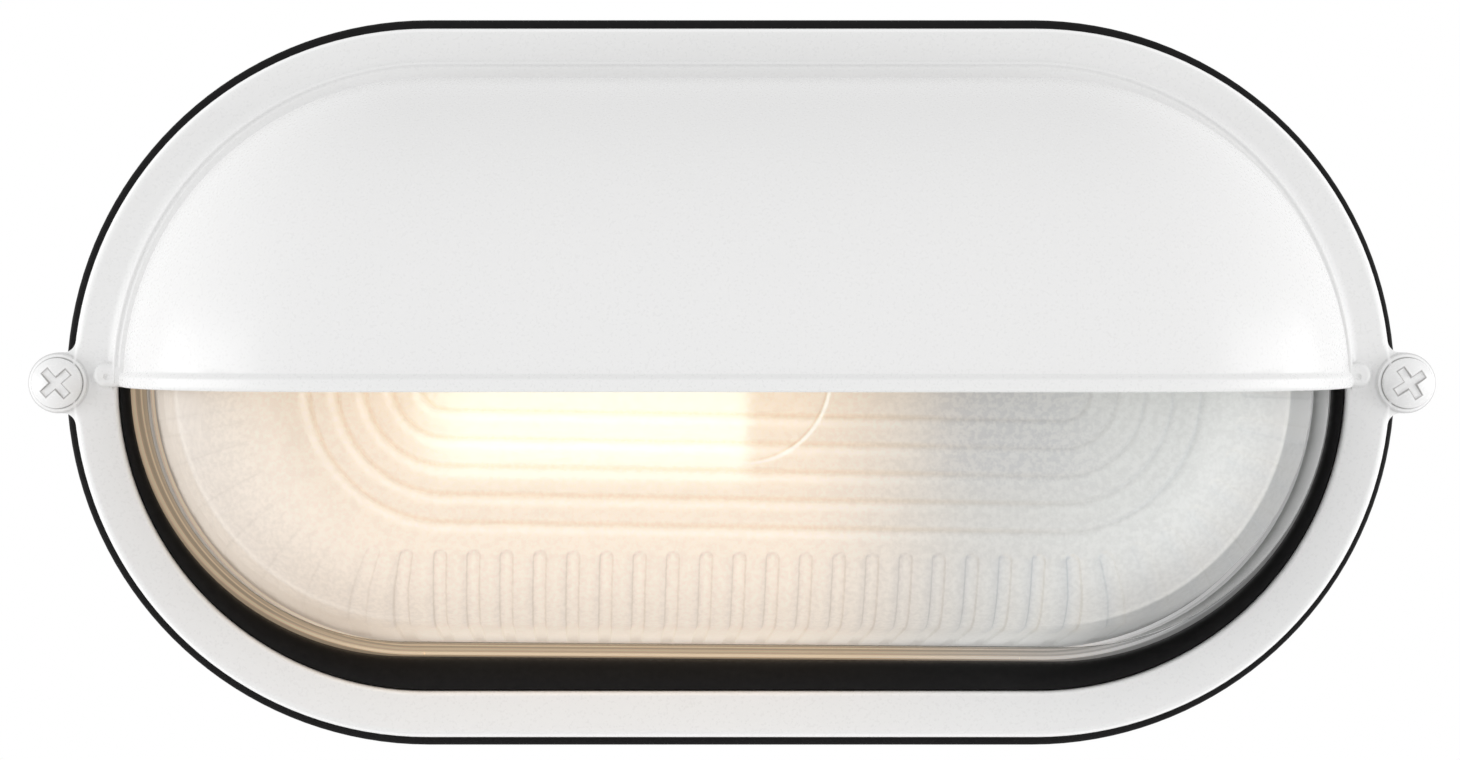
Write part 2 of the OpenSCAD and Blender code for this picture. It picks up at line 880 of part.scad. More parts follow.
module terminal_inserts() {
  color("gold") upright() at_poles() difference() {
    translate([0, insert_len / 2, insert_z]) rotate([90, 0, 0]) cylinder(insert_len, insert_r, insert_r);
    translate([0, block_len, insert_z]) rotate([90, 0, 0]) {
      cylinder(2 * block_len, insert_bore, insert_bore);
    }
    for (side = [-1, 1]) {
      translate([0, side * clamp_dy, insert_z]) cylinder(far, clamp_hole_r, clamp_hole_r);
    }
  }
}

module terminal_screws() {
  color("silver") upright() at_poles() for (side = [-1, 1]) {
    translate([0, side * clamp_dy, insert_z + 1]) difference() {
      cylinder(clamp_top - insert_z - 1, clamp_r, clamp_r);
      translate([-far / 2, -0.25, clamp_top - insert_z - 1.8]) cube([far, 0.5, 2]);
    }
  }
}

module terminal_block_screw() {
  color("silver") upright() translate([block_screw_x, -block_y, block_z + web_h]) {
    slotted_screw(2.2, 1.5, clamp_r, web_h + 2, 30);
  }
}

module live_lead() {
  color("black") upright() tube(live_route, lead_d);
}

module neutral_lead() {
  color("white") upright() tube(neutral_route, lead_d);
}

module earth_lead() {
  color("green") upright() tube(earth_route, lead_d);
}

module earth_ring_terminal() {
  color("silver") upright() translate([earth_x, earth_y, earth_z]) difference() {
    union() {
      cylinder(lug_t, 3.6, 3.6);
      rotate([0, 0, 27]) translate([0, -1.5, 0]) cube([7.4, 3, lug_t]);
    }
    translate([0, 0, -1]) cylinder(4, small_clear_r, small_clear_r);
  }
}

module earth_washer() {
  color("silver") upright() translate([earth_x, earth_y, earth_z + lug_t]) difference() {
    cylinder(washer_t, 3.3, 3.3);
    translate([0, 0, -1]) cylinder(4, small_clear_r, small_clear_r);
  }
}

module earth_screw() {
  color("green") upright() translate([earth_x, earth_y, earth_z + lug_t + washer_t]) {
    screw(2 * small_head_r, small_head_h, small_r, small_len, 10);
  }
}

base_housing();
cable_grommet();
cover_gasket();
glass_lens();
cover_frame();
cover_screw_left();
cover_screw_right();
screw_retainer_left();
screw_retainer_right();
bulb();
lampholder_body();
lampholder_shell();
lampholder_contact();
lampholder_terminal_screws();
lampholder_screws();
lampholder_bracket();
bracket_screws();
terminal_block();
terminal_inserts();
terminal_screws();
terminal_block_screw();
live_lead();
neutral_lead();
earth_lead();
earth_ring_terminal();
earth_washer();
earth_screw();
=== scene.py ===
import json
import math
import bpy
import bmesh
import numpy as np
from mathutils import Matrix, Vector


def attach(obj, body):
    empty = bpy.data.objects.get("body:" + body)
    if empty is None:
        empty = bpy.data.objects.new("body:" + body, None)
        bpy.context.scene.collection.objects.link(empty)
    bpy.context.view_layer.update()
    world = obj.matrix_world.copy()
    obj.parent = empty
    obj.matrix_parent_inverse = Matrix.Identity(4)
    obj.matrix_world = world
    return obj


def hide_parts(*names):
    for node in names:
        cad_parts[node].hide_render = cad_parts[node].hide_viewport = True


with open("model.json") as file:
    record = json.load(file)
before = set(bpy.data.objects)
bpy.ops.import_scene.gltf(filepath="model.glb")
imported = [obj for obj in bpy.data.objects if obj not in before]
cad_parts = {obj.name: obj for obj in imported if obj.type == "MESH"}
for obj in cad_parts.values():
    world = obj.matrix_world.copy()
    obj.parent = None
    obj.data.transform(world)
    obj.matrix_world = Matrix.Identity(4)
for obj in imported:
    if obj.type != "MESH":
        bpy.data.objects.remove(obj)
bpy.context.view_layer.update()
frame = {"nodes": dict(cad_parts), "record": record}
nodes = frame["nodes"]

# Sizes in mm, in the lying frame of the CAD source: X right, Y up the wall, Z out from the wall
END_RUN, FRAME_R, SCREW_X = 46.8, 54.5, 103.4
GASKET_Z, FLANGE_Z, FLANGE_TOP, FRAME_Z, FACE_Z = 36.0, 37.8, 40.2, 42.0, 47.0
FRAME_ROUND = 1.4
OPENING_RUN, OPENING_R, OPENING_ROUND = 47.0, 47.4, 0.7
HOOD_RUN, HOOD_R, HOOD_TOP, HOOD_POWER, HOOD_WALL = 45.8, 46.4, 92.5, 2.7, 2.0
STEP_W, STEP_H = 2.7, 1.7
BEAD_LOW, BEAD_HIGH, BEAD_OUT, BEAD_IN, BEAD_TAPER = -0.6, 1.5, 0.65, 1.45, 0.3
LOBE_X, LOBE_R, LOBE_Y = 96.1, 1.8, 1.25
EAR_R, EAR_FILLET = 4.7, 2.0
SEAT_R, SEAT_H = 4.4, 0.8
HEAD_R, HEAD_H, SHANK_R, SCREW_LEN = 3.85, 2.6, 1.95, 25.0
RECESS_ARM, RECESS_HALF, TURNS = 2.65, 0.72, {-1: 42.0, 1: 33.0}
LIP_RUN, LIP_R, GASKET_R, LOWER_WEB_R, NOTCH_R, SWELL_Z = 50.4, 43.0, 56.2, 47.5, 4.2, 45.9
FLANGE_RUN, FLANGE_R, GLASS_GAP = 45.8, 52.0, 0.15
DOME_RUN, DOME_R, DOME_TOP, DOME_CORNER, DOME_DRAFT = 48.8, 41.2, 81.0, 14.0, 6.0
GLASS_WALL, GLASS_TURN = 4.0, 0.45
SCREW_HOLE_R, DIMPLE_R, LOBE_FLARE, LOBE_ROUND = 2.25, 0.55, 0.9, 0.8
THREAD_PITCH, THREAD_DEPTH, THREAD_STEPS, THREAD_SHORT = 0.7, 0.33, 28, 3
# reach of the blocks and bores that cut right through the cover or the gasket
CUT_X, CUT_Z, CUT_DOWN, CUT_UP = (-120, 120), (30, 110), -80, 80
BORE_LOW, BORE_HIGH = 30, 60


# Mesh helpers

def upright(p):
    """Lying frame in mm to the row's frame in metres."""
    p = np.asarray(p, float)
    return np.stack([p[:, 0], -p[:, 2], p[:, 1]], axis=1) * 0.001


def make_object(name, verts, faces, merge=1e-7, slots=None, values=None):
    mesh = bpy.data.meshes.new(name)
    mesh.from_pydata(upright(verts).tolist(), [], faces)
    if slots is not None:
        mesh.polygons.foreach_set("material_index", slots)
    for key, data in (values or {}).items():
        mesh.attributes.new(key, "FLOAT", "POINT").data.foreach_set("value", data)
    bm = bmesh.new()
    bm.from_mesh(mesh)
    bmesh.ops.remove_doubles(bm, verts=bm.verts, dist=merge)
    bmesh.ops.dissolve_degenerate(bm, edges=bm.edges, dist=merge)
    bmesh.ops.recalc_face_normals(bm, faces=bm.faces)
    bm.to_mesh(mesh)
    bm.free()
    obj = bpy.data.objects.new(name, mesh)
    bpy.context.scene.collection.objects.link(obj)
    return obj


def arc(cx, cy, r, a0, a1, n):
    return [(cx + r * math.cos(math.radians(a)), cy + r * math.sin(math.radians(a)))
            for a in np.linspace(a0, a1, n)]


def stations(ends=48, straight=24):
    """Way round a stadium: share of the straight run, and the angle, once round."""
    out = [(1.0, a) for a in np.linspace(-90, 90, ends + 1)]
    out += [(x, 90.0) for x in np.linspace(1, -1, straight + 1)[1:-1]]
    out += [(-1.0, a) for a in np.linspace(90, 270, ends + 1)]
    out += [(x, 270.0) for x in np.linspace(-1, 1, straight + 1)[1:-1]]
    return np.array(out)


def turn_points(p, degrees):
    t = math.radians(degrees)
    q = p.copy()
    q[:, 0] = p[:, 0] * math.cos(t) - p[:, 1] * math.sin(t)
    q[:, 1] = p[:, 0] * math.sin(t) + p[:, 1] * math.cos(t)
    return q


def row(way, run, r, z, centre=0.0):
    """One line round a stadium at height z; r and z may differ from station to station."""
    a = np.radians(way[:, 1])
    z = np.full(len(way), z) if np.isscalar(z) else z
    return np.stack([centre + run * way[:, 0] + r * np.cos(a), r * np.sin(a), z], axis=1)


def grid_faces(rows, count, closed, start=0):
    faces = []
    for i in range(rows if closed else rows - 1):
        j = (i + 1) % rows
        for k in range(count):
            q = (k + 1) % count
            faces.append((start + i * count + k, start + i * count + q,
                          start + j * count + q, start + j * count + k))
    return faces


def sweep(name, section, run, ends=48, straight=24):
    """Closed section of (radius, height) swept once round a stadium."""
    way = stations(ends, straight)
    rows = [row(way, run, r, z) for r, z in section]
    faces = []
    n, m = len(way), len(section)
    for i in range(m):
        j = (i + 1) % m
        if section[i][0] == 0 and section[j][0] == 0:
            continue
        for k in range(n):
            q = (k + 1) % n
            faces.append((i * n + k, i * n + q, j * n + q, j * n + k))
    return make_object(name, np.concatenate(rows), faces)


def loft(name, rings, cap=True):
    """Rings of equal length, one above the other."""
    n, m = len(rings), len(rings[0])
    verts = [p for ring in rings for p in ring]
    faces = grid_faces(n, m, False)
    if cap:
        faces += [tuple(range(m)), tuple((n - 1) * m + k for k in range(m))]
    return make_object(name, verts, faces)


def lathe(name, profile, centre, steps=64):
    """Closed profile of (radius, height) turned about Z at the centre."""
    m = len(profile)
    verts = [(centre[0] + r * math.cos(2 * math.pi * i / steps),
              centre[1] + r * math.sin(2 * math.pi * i / steps), z)
             for i in range(steps) for r, z in profile]
    faces = []
    for i in range(steps):
        j = (i + 1) % steps
        for k in range(m):
            q = (k + 1) % m
            if profile[k][0] == 0 and profile[q][0] == 0:
                continue
            faces.append((i * m + k, j * m + k, j * m + q, i * m + q))
    return make_object(name, verts, faces)


def block(name, x, y, z):
    verts = [(a, b, c) for c in z for b in y for a in x]
    faces = [(0, 1, 3, 2), (4, 6, 7, 5), (0, 4, 5, 1), (2, 3, 7, 6), (0, 2, 6, 4), (1, 5, 7, 3)]
    return make_object(name, verts, faces)


def bore(radius):
    """Section of a round hole right through the cover or the gasket."""
    return [(0, BORE_LOW), (radius, BORE_LOW), (radius, BORE_HIGH), (0, BORE_HIGH)]


def combine(target, other, operation):
    """Boolean of two closed meshes; the other one is used up."""
    mod = target.modifiers.new("b", "BOOLEAN")
    mod.operation = operation
    mod.solver = "MANIFOLD"
    mod.object = other
    bpy.context.view_layer.update()
    ready = target.evaluated_get(bpy.context.evaluated_depsgraph_get())
    mesh = bpy.data.meshes.new_from_object(ready)
    target.modifiers.clear()
    old = target.data
    target.data = mesh
    bpy.data.meshes.remove(old)
    bpy.data.objects.remove(other)
    return target


def smooth(obj, angle=28):
    """Smooth shading with edges sharper than the angle kept crisp."""
    bm = bmesh.new()
    bm.from_mesh(obj.data)
    limit = math.radians(angle)
    for f in bm.faces:
        f.smooth = True
    for e in bm.edges:
        e.smooth = len(e.link_faces) == 2 and e.calc_face_angle(0) < limit
    bm.to_mesh(obj.data)
    bm.free()


# Cover: frame, ears and half hood in one casting

def hood_curve(inset, steps):
    """Domed section of the hood from the frame to its top: radius, height and direction outward."""
    wide, high = HOOD_R - inset, HOOD_TOP - FACE_Z - inset
    out = []
    for t in np.linspace(0, math.pi / 2, steps):
        r = wide * round(math.cos(t), 9) ** (2 / HOOD_POWER)
        h = high * math.sin(t) ** (2 / HOOD_POWER)
        lean = math.atan2((h / high) ** (HOOD_POWER - 1) / high, (r / wide) ** (HOOD_POWER - 1) / wide)
        out.append((r, FACE_Z + h, lean))
    return out


def hood_outline(inset, bottom):
    """Section of the hood from its axis at the bottom round to its axis at the top."""
    return [(0, bottom), (HOOD_R - inset, bottom)] + [(r, z) for r, z, _ in hood_curve(inset, 34)]


def ear_ring(side, inset, z):
    r, ear, fillet = FRAME_R - inset, EAR_R - inset, EAR_FILLET + inset
    span = SCREW_X - END_RUN
    u = ((r + fillet) ** 2 - (ear + fillet) ** 2 + span ** 2) / (2 * span)
    v = math.sqrt((r + fillet) ** 2 - u ** 2)
    a_frame = math.degrees(math.atan2(v, u))
    a_ear = math.degrees(math.atan2(v, u - span))
    hollow = arc(END_RUN + u, v, fillet, a_frame - 180, a_ear - 180, 10)
    out = [(END_RUN + r - 8, 0)] + hollow + arc(SCREW_X, 0, ear, a_ear, -a_ear, 36)[1:-1]
    out += [(x, -y) for x, y in reversed(hollow)]
    return [(side * x, y, z) for x, y in out]


def bead_section(lift):
    """Band along the hood's edge as (out, up): rounded below, with a hollow corner above."""
    low = arc(BEAD_OUT - 0.6, BEAD_LOW + lift + 0.6, 0.6, -90, 0, 7)
    high = arc(BEAD_OUT - 0.45, BEAD_HIGH - 0.45, 0.45, 0, 60, 5)
    hollow = arc(0.75, BEAD_HIGH + 0.95, 0.9, 240, 190, 6)
    back = [(-0.4, BEAD_HIGH + 1.6), (-BEAD_IN, BEAD_HIGH)]
    return [(-BEAD_IN, BEAD_LOW + lift)] + low + high + hollow + back


def bead_rings():
    """The band up one side, along the front and down the other, a little narrower at its ends."""
    curve = hood_curve(0, 61)
    path = [(HOOD_RUN + HOOD_R, 46.2, 0.0)] + [(HOOD_RUN + r, z, a) for r, z, a in curve]
    path += [(x, HOOD_TOP, math.pi / 2) for x in np.linspace(HOOD_RUN, 0, 12)[1:]]
    path += [(-x, z, math.pi - a) for x, z, a in reversed(path[:-1])]
    return [[(x + out * math.cos(a), up, z + out * math.sin(a))
             for out, up in bead_section(BEAD_TAPER * (1 - math.sin(a)))] for x, z, a in path]


def lobe(side):
    """Rounded tab where the band lands on the frame: flared at its foot, rounded on top."""
    quarter = np.linspace(0, math.pi / 2, 7)
    top = FACE_Z + STEP_H
    levels = [(-LOBE_FLARE, FACE_Z - 1)]
    levels += [(-LOBE_FLARE * (1 - math.sin(t)), FACE_Z - 0.02 + LOBE_FLARE * (1 - math.cos(t)))
               for t in quarter]
    levels += [(LOBE_ROUND * (1 - math.cos(t)), top - LOBE_ROUND + LOBE_ROUND * math.sin(t))
               for t in quarter]
    root = HOOD_RUN + HOOD_R - 1
    rings = []
    for inset, z in levels:
        r = LOBE_R - inset
        ring = [(root, LOBE_Y - r)] + arc(LOBE_X, LOBE_Y, r, -90, 90, 25) + [(root, LOBE_Y + r)]
        rings.append([(side * x, y, z) for x, y in ring])
    return loft("lobe", rings)


def hood_foot():
    """Section of the step round the hood: hollow up from the frame, crest, groove, terrace."""
    foot = HOOD_R + STEP_W
    z = FACE_Z + STEP_H
    out = [(0, FRAME_Z + 0.5), (foot + STEP_H, FRAME_Z + 0.5), (foot + STEP_H, FACE_Z - 0.02)]
    out += arc(foot + STEP_H - 0.15, z + 0.1, STEP_H + 0.05, 262, 196, 9)
    out += arc(foot - 0.25, z - 0.35, 0.4, 10, 100, 7)
    out += [(foot - 0.55, z - 0.12), (foot - 0.7, z - 0.14), (foot - 0.85, z - 0.1)]
    out += [(foot - 1.05, z + 0.02), (HOOD_R + 0.7, z)]
    out += arc(HOOD_R + 0.45, z + 0.45, 0.45, 270, 180, 6)
    return out + [(r, h) for r, h, _ in hood_curve(0, 48) if h > z + 0.6]


def build_cover():
    rim = [(0, FRAME_Z), (FRAME_R, FRAME_Z)]
    rim += arc(FRAME_R - FRAME_ROUND, FACE_Z - FRAME_ROUND, FRAME_ROUND, 0, 90, 9) + [(0, FACE_Z)]
    cover = sweep("cover", rim, END_RUN, 72)
    for side in (1, -1):
        rings = [ear_ring(side, 0, FRAME_Z)]
        rings += [ear_ring(side, FRAME_ROUND * (1 - math.cos(a)),
                           FACE_Z - FRAME_ROUND * (1 - math.sin(a)) - 0.003)
                  for a in np.linspace(0, math.pi / 2, 9)]
        combine(cover, loft("ear", rings), "UNION")
        seat = [(0, FRAME_Z + 1), (SEAT_R + 0.25, FRAME_Z + 1), (SEAT_R + 0.25, FACE_Z)]
        seat += arc(SEAT_R + 0.25, FACE_Z + 0.25, 0.25, 270, 180, 4)
        seat += arc(SEAT_R - 0.3, FACE_Z + SEAT_H - 0.3, 0.3, 0, 90, 6) + [(0, FACE_Z + SEAT_H)]
        combine(cover, lathe("seat", seat, (side * SCREW_X, 0)), "UNION")
    shell = sweep("hood", hood_foot(), HOOD_RUN, 96)
    combine(shell, block("cut", CUT_X, (CUT_DOWN, 0), CUT_Z), "DIFFERENCE")
    combine(cover, shell, "UNION")
    combine(cover, loft("bead", bead_rings()), "UNION")
    for side in (1, -1):
        combine(cover, lobe(side), "UNION")
        ball = [(0, -DIMPLE_R)] + arc(0, 0, DIMPLE_R, -80, 80, 9) + [(0, DIMPLE_R)]
        ball = [(r, z + FACE_Z + STEP_H + 0.2) for r, z in ball]
        combine(cover, lathe("dimple", ball, (side * (LOBE_X - 0.3), LOBE_Y - 0.3), 24), "DIFFERENCE")
    # hollow inside, opening below
    inner = sweep("inner", hood_outline(HOOD_WALL, FRAME_Z - 1), HOOD_RUN)
    combine(inner, block("cut", CUT_X, (CUT_DOWN, BEAD_LOW - 0.2), CUT_Z), "DIFFERENCE")
    combine(cover, inner, "DIFFERENCE")
    edge = [(0, FRAME_Z - 1), (OPENING_R, FRAME_Z - 1)]
    edge += arc(OPENING_R + OPENING_ROUND, FACE_Z - OPENING_ROUND, OPENING_ROUND, 180, 90, 7)
    edge += [(OPENING_R + OPENING_ROUND, FACE_Z + 3), (0, FACE_Z + 3)]
    opening = sweep("opening", edge, OPENING_RUN, 72)
    combine(opening, block("cut", CUT_X, (BEAD_LOW, CUT_UP), CUT_Z), "DIFFERENCE")
    combine(cover, opening, "DIFFERENCE")
    for side in (1, -1):
        combine(cover, lathe("hole", bore(SCREW_HOLE_R), (side * SCREW_X, 0), 40), "DIFFERENCE")
    smooth(cover)
    return cover


# Cover screw: domed head with a tapered cross recess, rolled thread

def build_screw(side, turn):
    seat_z = FACE_Z + SEAT_H
    rim, edge = 0.45 * HEAD_H, 0.35
    ball = (HEAD_R ** 2 + (HEAD_H - rim) ** 2) / (2 * (HEAD_H - rim))

    def dome(r):
        return seat_z + HEAD_H - ball + math.sqrt(ball ** 2 - r ** 2)

    r_end = (HEAD_R - edge) / (1 - edge / ball)
    t_end = math.degrees(math.acos(r_end / ball))
    profile = [(0, seat_z - 1), (1.6, seat_z - 1), (1.6, seat_z), (HEAD_R - 0.15, seat_z)]
    profile += [(HEAD_R, seat_z + 0.15)]
    profile += arc(HEAD_R - edge, dome(r_end) - edge * math.sin(math.radians(t_end)), edge, 0, t_end, 7)
    profile += [(r, dome(r)) for r in np.linspace(r_end, 0, 12)[1:]]
    head = lathe("screw", profile, (0, 0), 72)
    rings = []
    for arm, half, z in ((2.2, 0.5, HEAD_H - 0.8), (2.5, 0.66, HEAD_H - 0.62),
                         (RECESS_ARM, RECESS_HALF, HEAD_H - 0.3),
                         (RECESS_ARM + 0.1, RECESS_HALF + 0.06, HEAD_H + 0.3)):
        ring = []
        for c, s in ((1, 0), (0, 1), (-1, 0), (0, -1)):
            ring += [(x * c - y * s, x * s + y * c, seat_z + z)
                     for x, y in ((arm, -half), (arm, half), (half, half))]
        rings.append(ring)
    combine(head, loft("recess", rings), "DIFFERENCE")
    # thread rolled into the shank, plain for the last bit under the head
    threaded = SCREW_LEN - THREAD_SHORT
    low = seat_z - SCREW_LEN
    angles = np.linspace(0, 2 * math.pi, THREAD_STEPS + 1)[:-1]
    rings = []
    for h in np.arange(0, threaded + THREAD_PITCH, THREAD_PITCH / 6):
        wave = 1 - np.abs(2 * ((h / THREAD_PITCH + angles / (2 * math.pi)) % 1.0) - 1)
        r = SHANK_R - THREAD_DEPTH * wave * np.clip(threaded - h, 0, 1)
        r = np.minimum(r, 1.2 + h)
        rings.append([(r[k] * math.cos(t), r[k] * math.sin(t), low + h) for k, t in enumerate(angles)])
    rings.append([(x, y, seat_z - 0.5) for x, y, _ in rings[-1]])
    combine(head, loft("shank", rings), "UNION")
    t = math.radians(turn)
    for v in head.data.vertices:
        x, z = v.co.x, v.co.z
        v.co.x = x * math.cos(t) - z * math.sin(t) + side * SCREW_X * 0.001
        v.co.z = x * math.sin(t) + z * math.cos(t)
    smooth(head, 30)
    return head


# Gasket: U section round the glass flange, its lip rounded where it shows in the opening

def build_gasket():
    way = stations(72, 24)
    pocket_r = FLANGE_R + GLASS_GAP
    rows = []

    def add(run, r, z, turn=0.0):
        rows.append(turn_points(row(way, run, r, z), -GLASS_TURN * turn))

    add(END_RUN, LOWER_WEB_R, GASKET_Z)
    add(END_RUN, GASKET_R - 0.4, GASKET_Z)
    add(END_RUN, GASKET_R, GASKET_Z + 0.4)
    for r, z in arc(GASKET_R - 0.6, FRAME_Z - 0.6, 0.6, 0, 90, 7):
        add(END_RUN, r, z)
    # the lip swells up against the wall of the opening and falls away to the glass
    wall = OPENING_R - 0.03
    add(OPENING_RUN, wall, FRAME_Z)
    add(OPENING_RUN, wall, SWELL_Z - 0.3)
    for t in np.linspace(0, 1, 14):
        share = math.sin(t * math.pi / 2)
        add(OPENING_RUN + (LIP_RUN - OPENING_RUN) * t, wall - 0.25 + (LIP_R - wall + 0.25) * share,
            FRAME_Z - 1 + (SWELL_Z - FRAME_Z + 1) * math.cos(t * math.pi / 2) ** 0.8, t)
    add(LIP_RUN, LIP_R, FLANGE_TOP, 1.0)
    add(FLANGE_RUN, pocket_r, FLANGE_TOP, 1.0)
    add(FLANGE_RUN, pocket_r, FLANGE_Z, 1.0)
    add(END_RUN, LOWER_WEB_R, FLANGE_Z)
    gasket = make_object("gasket", np.concatenate(rows), grid_faces(len(rows), len(way), True))
    for side in (1, -1):
        combine(gasket, lathe("notch", bore(NOTCH_R), (side * SCREW_X, 0), 48), "DIFFERENCE")
    smooth(gasket, 40)
    return gasket


# Glass: clear outside, frosted inside with rings in the crown and flutes down the side

RINGS, RING_PITCH, RING_H, RING_HALF = 5, 4.05, 0.3, 0.6
RING_RUN, RING_SHIFT, RING_TURN = 44.3, 2.2, 0.55
FLUTES, END_FLUTES, FLUTE_PITCH = 10, 8, 4.81
FLUTE_H, FLUTE_HALF, FLUTE_TOP, FLUTE_SHIFT = 0.35, 0.92, 25.0, 0.1
FLUTE_RUN = FLUTES * FLUTE_PITCH
CROWN_RUN = 48.2
INNER_CORNER, INNER_ZC, INNER_FOOT = 11.7, 66.0, 40.8


def dome_corner():
    """Centre of the dome's outer corner arc."""
    draft = math.radians(DOME_DRAFT)
    zc = DOME_TOP - DOME_CORNER
    rc = (DOME_R - (zc + DOME_CORNER * math.sin(draft) - FLANGE_TOP) * math.tan(draft)
          - DOME_CORNER * math.cos(draft))
    return rc, zc


def glass_way():
    """Stations: X on the flutes' run, which way it moves on a longer run, angle, distance from a flute."""
    near = np.array([0.0, 0.74, 0.86, 0.98, 1.1]) / FLUTE_PITCH
    steps = np.concatenate([near, [0.5], 1 - near[:0:-1]])
    arm = [((i + o) * FLUTE_PITCH, float(i == FLUTES - 1 and o > 0.5), 90.0, o)
           for i in range(FLUTES) for o in steps]
    arm += [(FLUTE_RUN, 1.0, 90 - 90 * (i + o) / END_FLUTES, o) for i in range(END_FLUTES) for o in steps]
    arm = [(x, e, a, (o if o <= 0.5 else o - 1) * FLUTE_PITCH) for x, e, a, o in arm]
    way = arm + [(FLUTE_RUN, 1.0, 0.0, 0.0)] + [(x, e, -a, d) for x, e, a, d in reversed(arm[1:])]
    way += [(-x, -e, a - 180, -d) for x, e, a, d in arm] + [(-FLUTE_RUN, -1.0, -180.0, 0.0)]
    way += [(-x, -e, 180 - a, -d) for x, e, a, d in reversed(arm[1:])]
    return np.array(way)


def build_glass():
    rc, zc = dome_corner()
    way = glass_way()
    d = way[:, 3]
    angle = np.radians(way[:, 2])
    rows, lefts, rights = [], [], []
    # flutes fade out in the round ends
    strength = np.clip(1 - 2.5 * np.abs(np.cos(angle)), 0.2, 1)

    def add(run, r, z, centre=0.0, turn=0.0, scale=1.0, top=None):
        x = centre + way[:, 0] * scale + way[:, 1] * (run - FLUTE_RUN * scale) + r * np.cos(angle)
        z = z + np.zeros(len(way))
        rows.append(turn_points(np.stack([x, r * np.sin(angle), z], axis=1), -GLASS_TURN - turn))
        away = np.sqrt(d ** 2 + max(FLUTE_TOP - top, 0.0) ** 2) if top is not None else np.full(len(way), 9.0)
        line = np.exp(-((away - FLUTE_HALF) / 0.2) ** 2) * strength
        lefts.append(line * (d < 0))
        rights.append(line * (d >= 0))

    def flute(r):
        away = np.sqrt(d ** 2 + max(FLUTE_TOP - r, 0.0) ** 2)
        t = np.clip((FLUTE_HALF + 0.1 - away) / 0.2, 0, 1)
        return FLUTE_H * t * t * (3 - 2 * t) * strength

    # inside, from the middle of the crown to the foot; ridges stand into the lamp
    crown = DOME_TOP - GLASS_WALL
    wide = RING_RUN / FLUTE_RUN
    add(RING_RUN, 0.0, crown, RING_SHIFT, RING_TURN, wide)
    for k in range(1, RINGS + 1):
        for o in (-1.0, -0.62, -0.3, 0.0, 0.3, 0.62, 1.0):
            h = RING_H * math.cos(o * math.pi / 2) ** 2
            add(RING_RUN, k * RING_PITCH + o * RING_HALF, crown - h, RING_SHIFT, RING_TURN, wide)
    add(46.4, 22.0, crown, 1.0, 0.25, 0.96)
    for r in (23.7, 23.88, 24.0, 24.14, 24.3, 24.5, 24.75, 25.0):
        add(CROWN_RUN, r, crown - flute(r), FLUTE_SHIFT, top=r)
    deep = flute(DOME_R)
    for t in np.linspace(84, 10, 18):
        c, s = math.cos(math.radians(t)), math.sin(math.radians(t))
        share = min((90 - t) / 30, 1.0)
        add(CROWN_RUN + (DOME_RUN - CROWN_RUN) * share, rc + (INNER_CORNER - deep) * c,
            INNER_ZC + (crown - INNER_ZC - deep) * s, FLUTE_SHIFT * (1 - share), top=DOME_R)
    c, s = math.cos(math.radians(10)), math.sin(math.radians(10))
    r0, z0 = rc + INNER_CORNER * c, INNER_ZC + (crown - INNER_ZC) * s
    for z in (62.0, 56.0, 50.0, 45.0, 42.0, FLANGE_TOP):
        wall = r0 + (INNER_FOOT - r0) * (z0 - z) / (z0 - FLANGE_TOP)
        add(DOME_RUN, wall - deep * min((z - FLANGE_TOP) / 2, 1), z)
    add(DOME_RUN, INNER_FOOT + 0.2, FLANGE_Z + 0.6)
    # underside of the flange, its edge, and the clear outside up to the crown
    add(DOME_RUN, INNER_FOOT + 0.5, FLANGE_Z)
    add(FLANGE_RUN, FLANGE_R - 0.3, FLANGE_Z)
    frosted_rows = len(rows) - 1
    add(FLANGE_RUN, FLANGE_R, FLANGE_Z + 0.3)
    add(FLANGE_RUN, FLANGE_R, FLANGE_TOP - 0.3)
    add(FLANGE_RUN, FLANGE_R - 0.3, FLANGE_TOP)
    for r, z in arc(DOME_R + 0.75, FLANGE_TOP + 0.8, 0.8, 270, 186, 5):
        add(DOME_RUN, r, z)
    lean = math.tan(math.radians(DOME_DRAFT))
    for z in (50.0, 60.0):
        add(DOME_RUN, DOME_R - (z - FLANGE_TOP) * lean, z)
    for t in np.linspace(DOME_DRAFT, 90, 16):
        add(DOME_RUN, rc + DOME_CORNER * math.cos(math.radians(t)),
            zc + DOME_CORNER * math.sin(math.radians(t)))
    add(DOME_RUN, 0.0, DOME_TOP)
    n = len(way)
    faces = grid_faces(len(rows), n, False)
    slots = [0 if i // n < frosted_rows else 1 for i in range(len(faces))]
    values = {"line_left": np.concatenate(lefts), "line_right": np.concatenate(rights)}
    glass = make_object("glass", np.concatenate(rows), faces, 3e-6, slots, values)
    smooth(glass, 65)
    return glass


# Materials

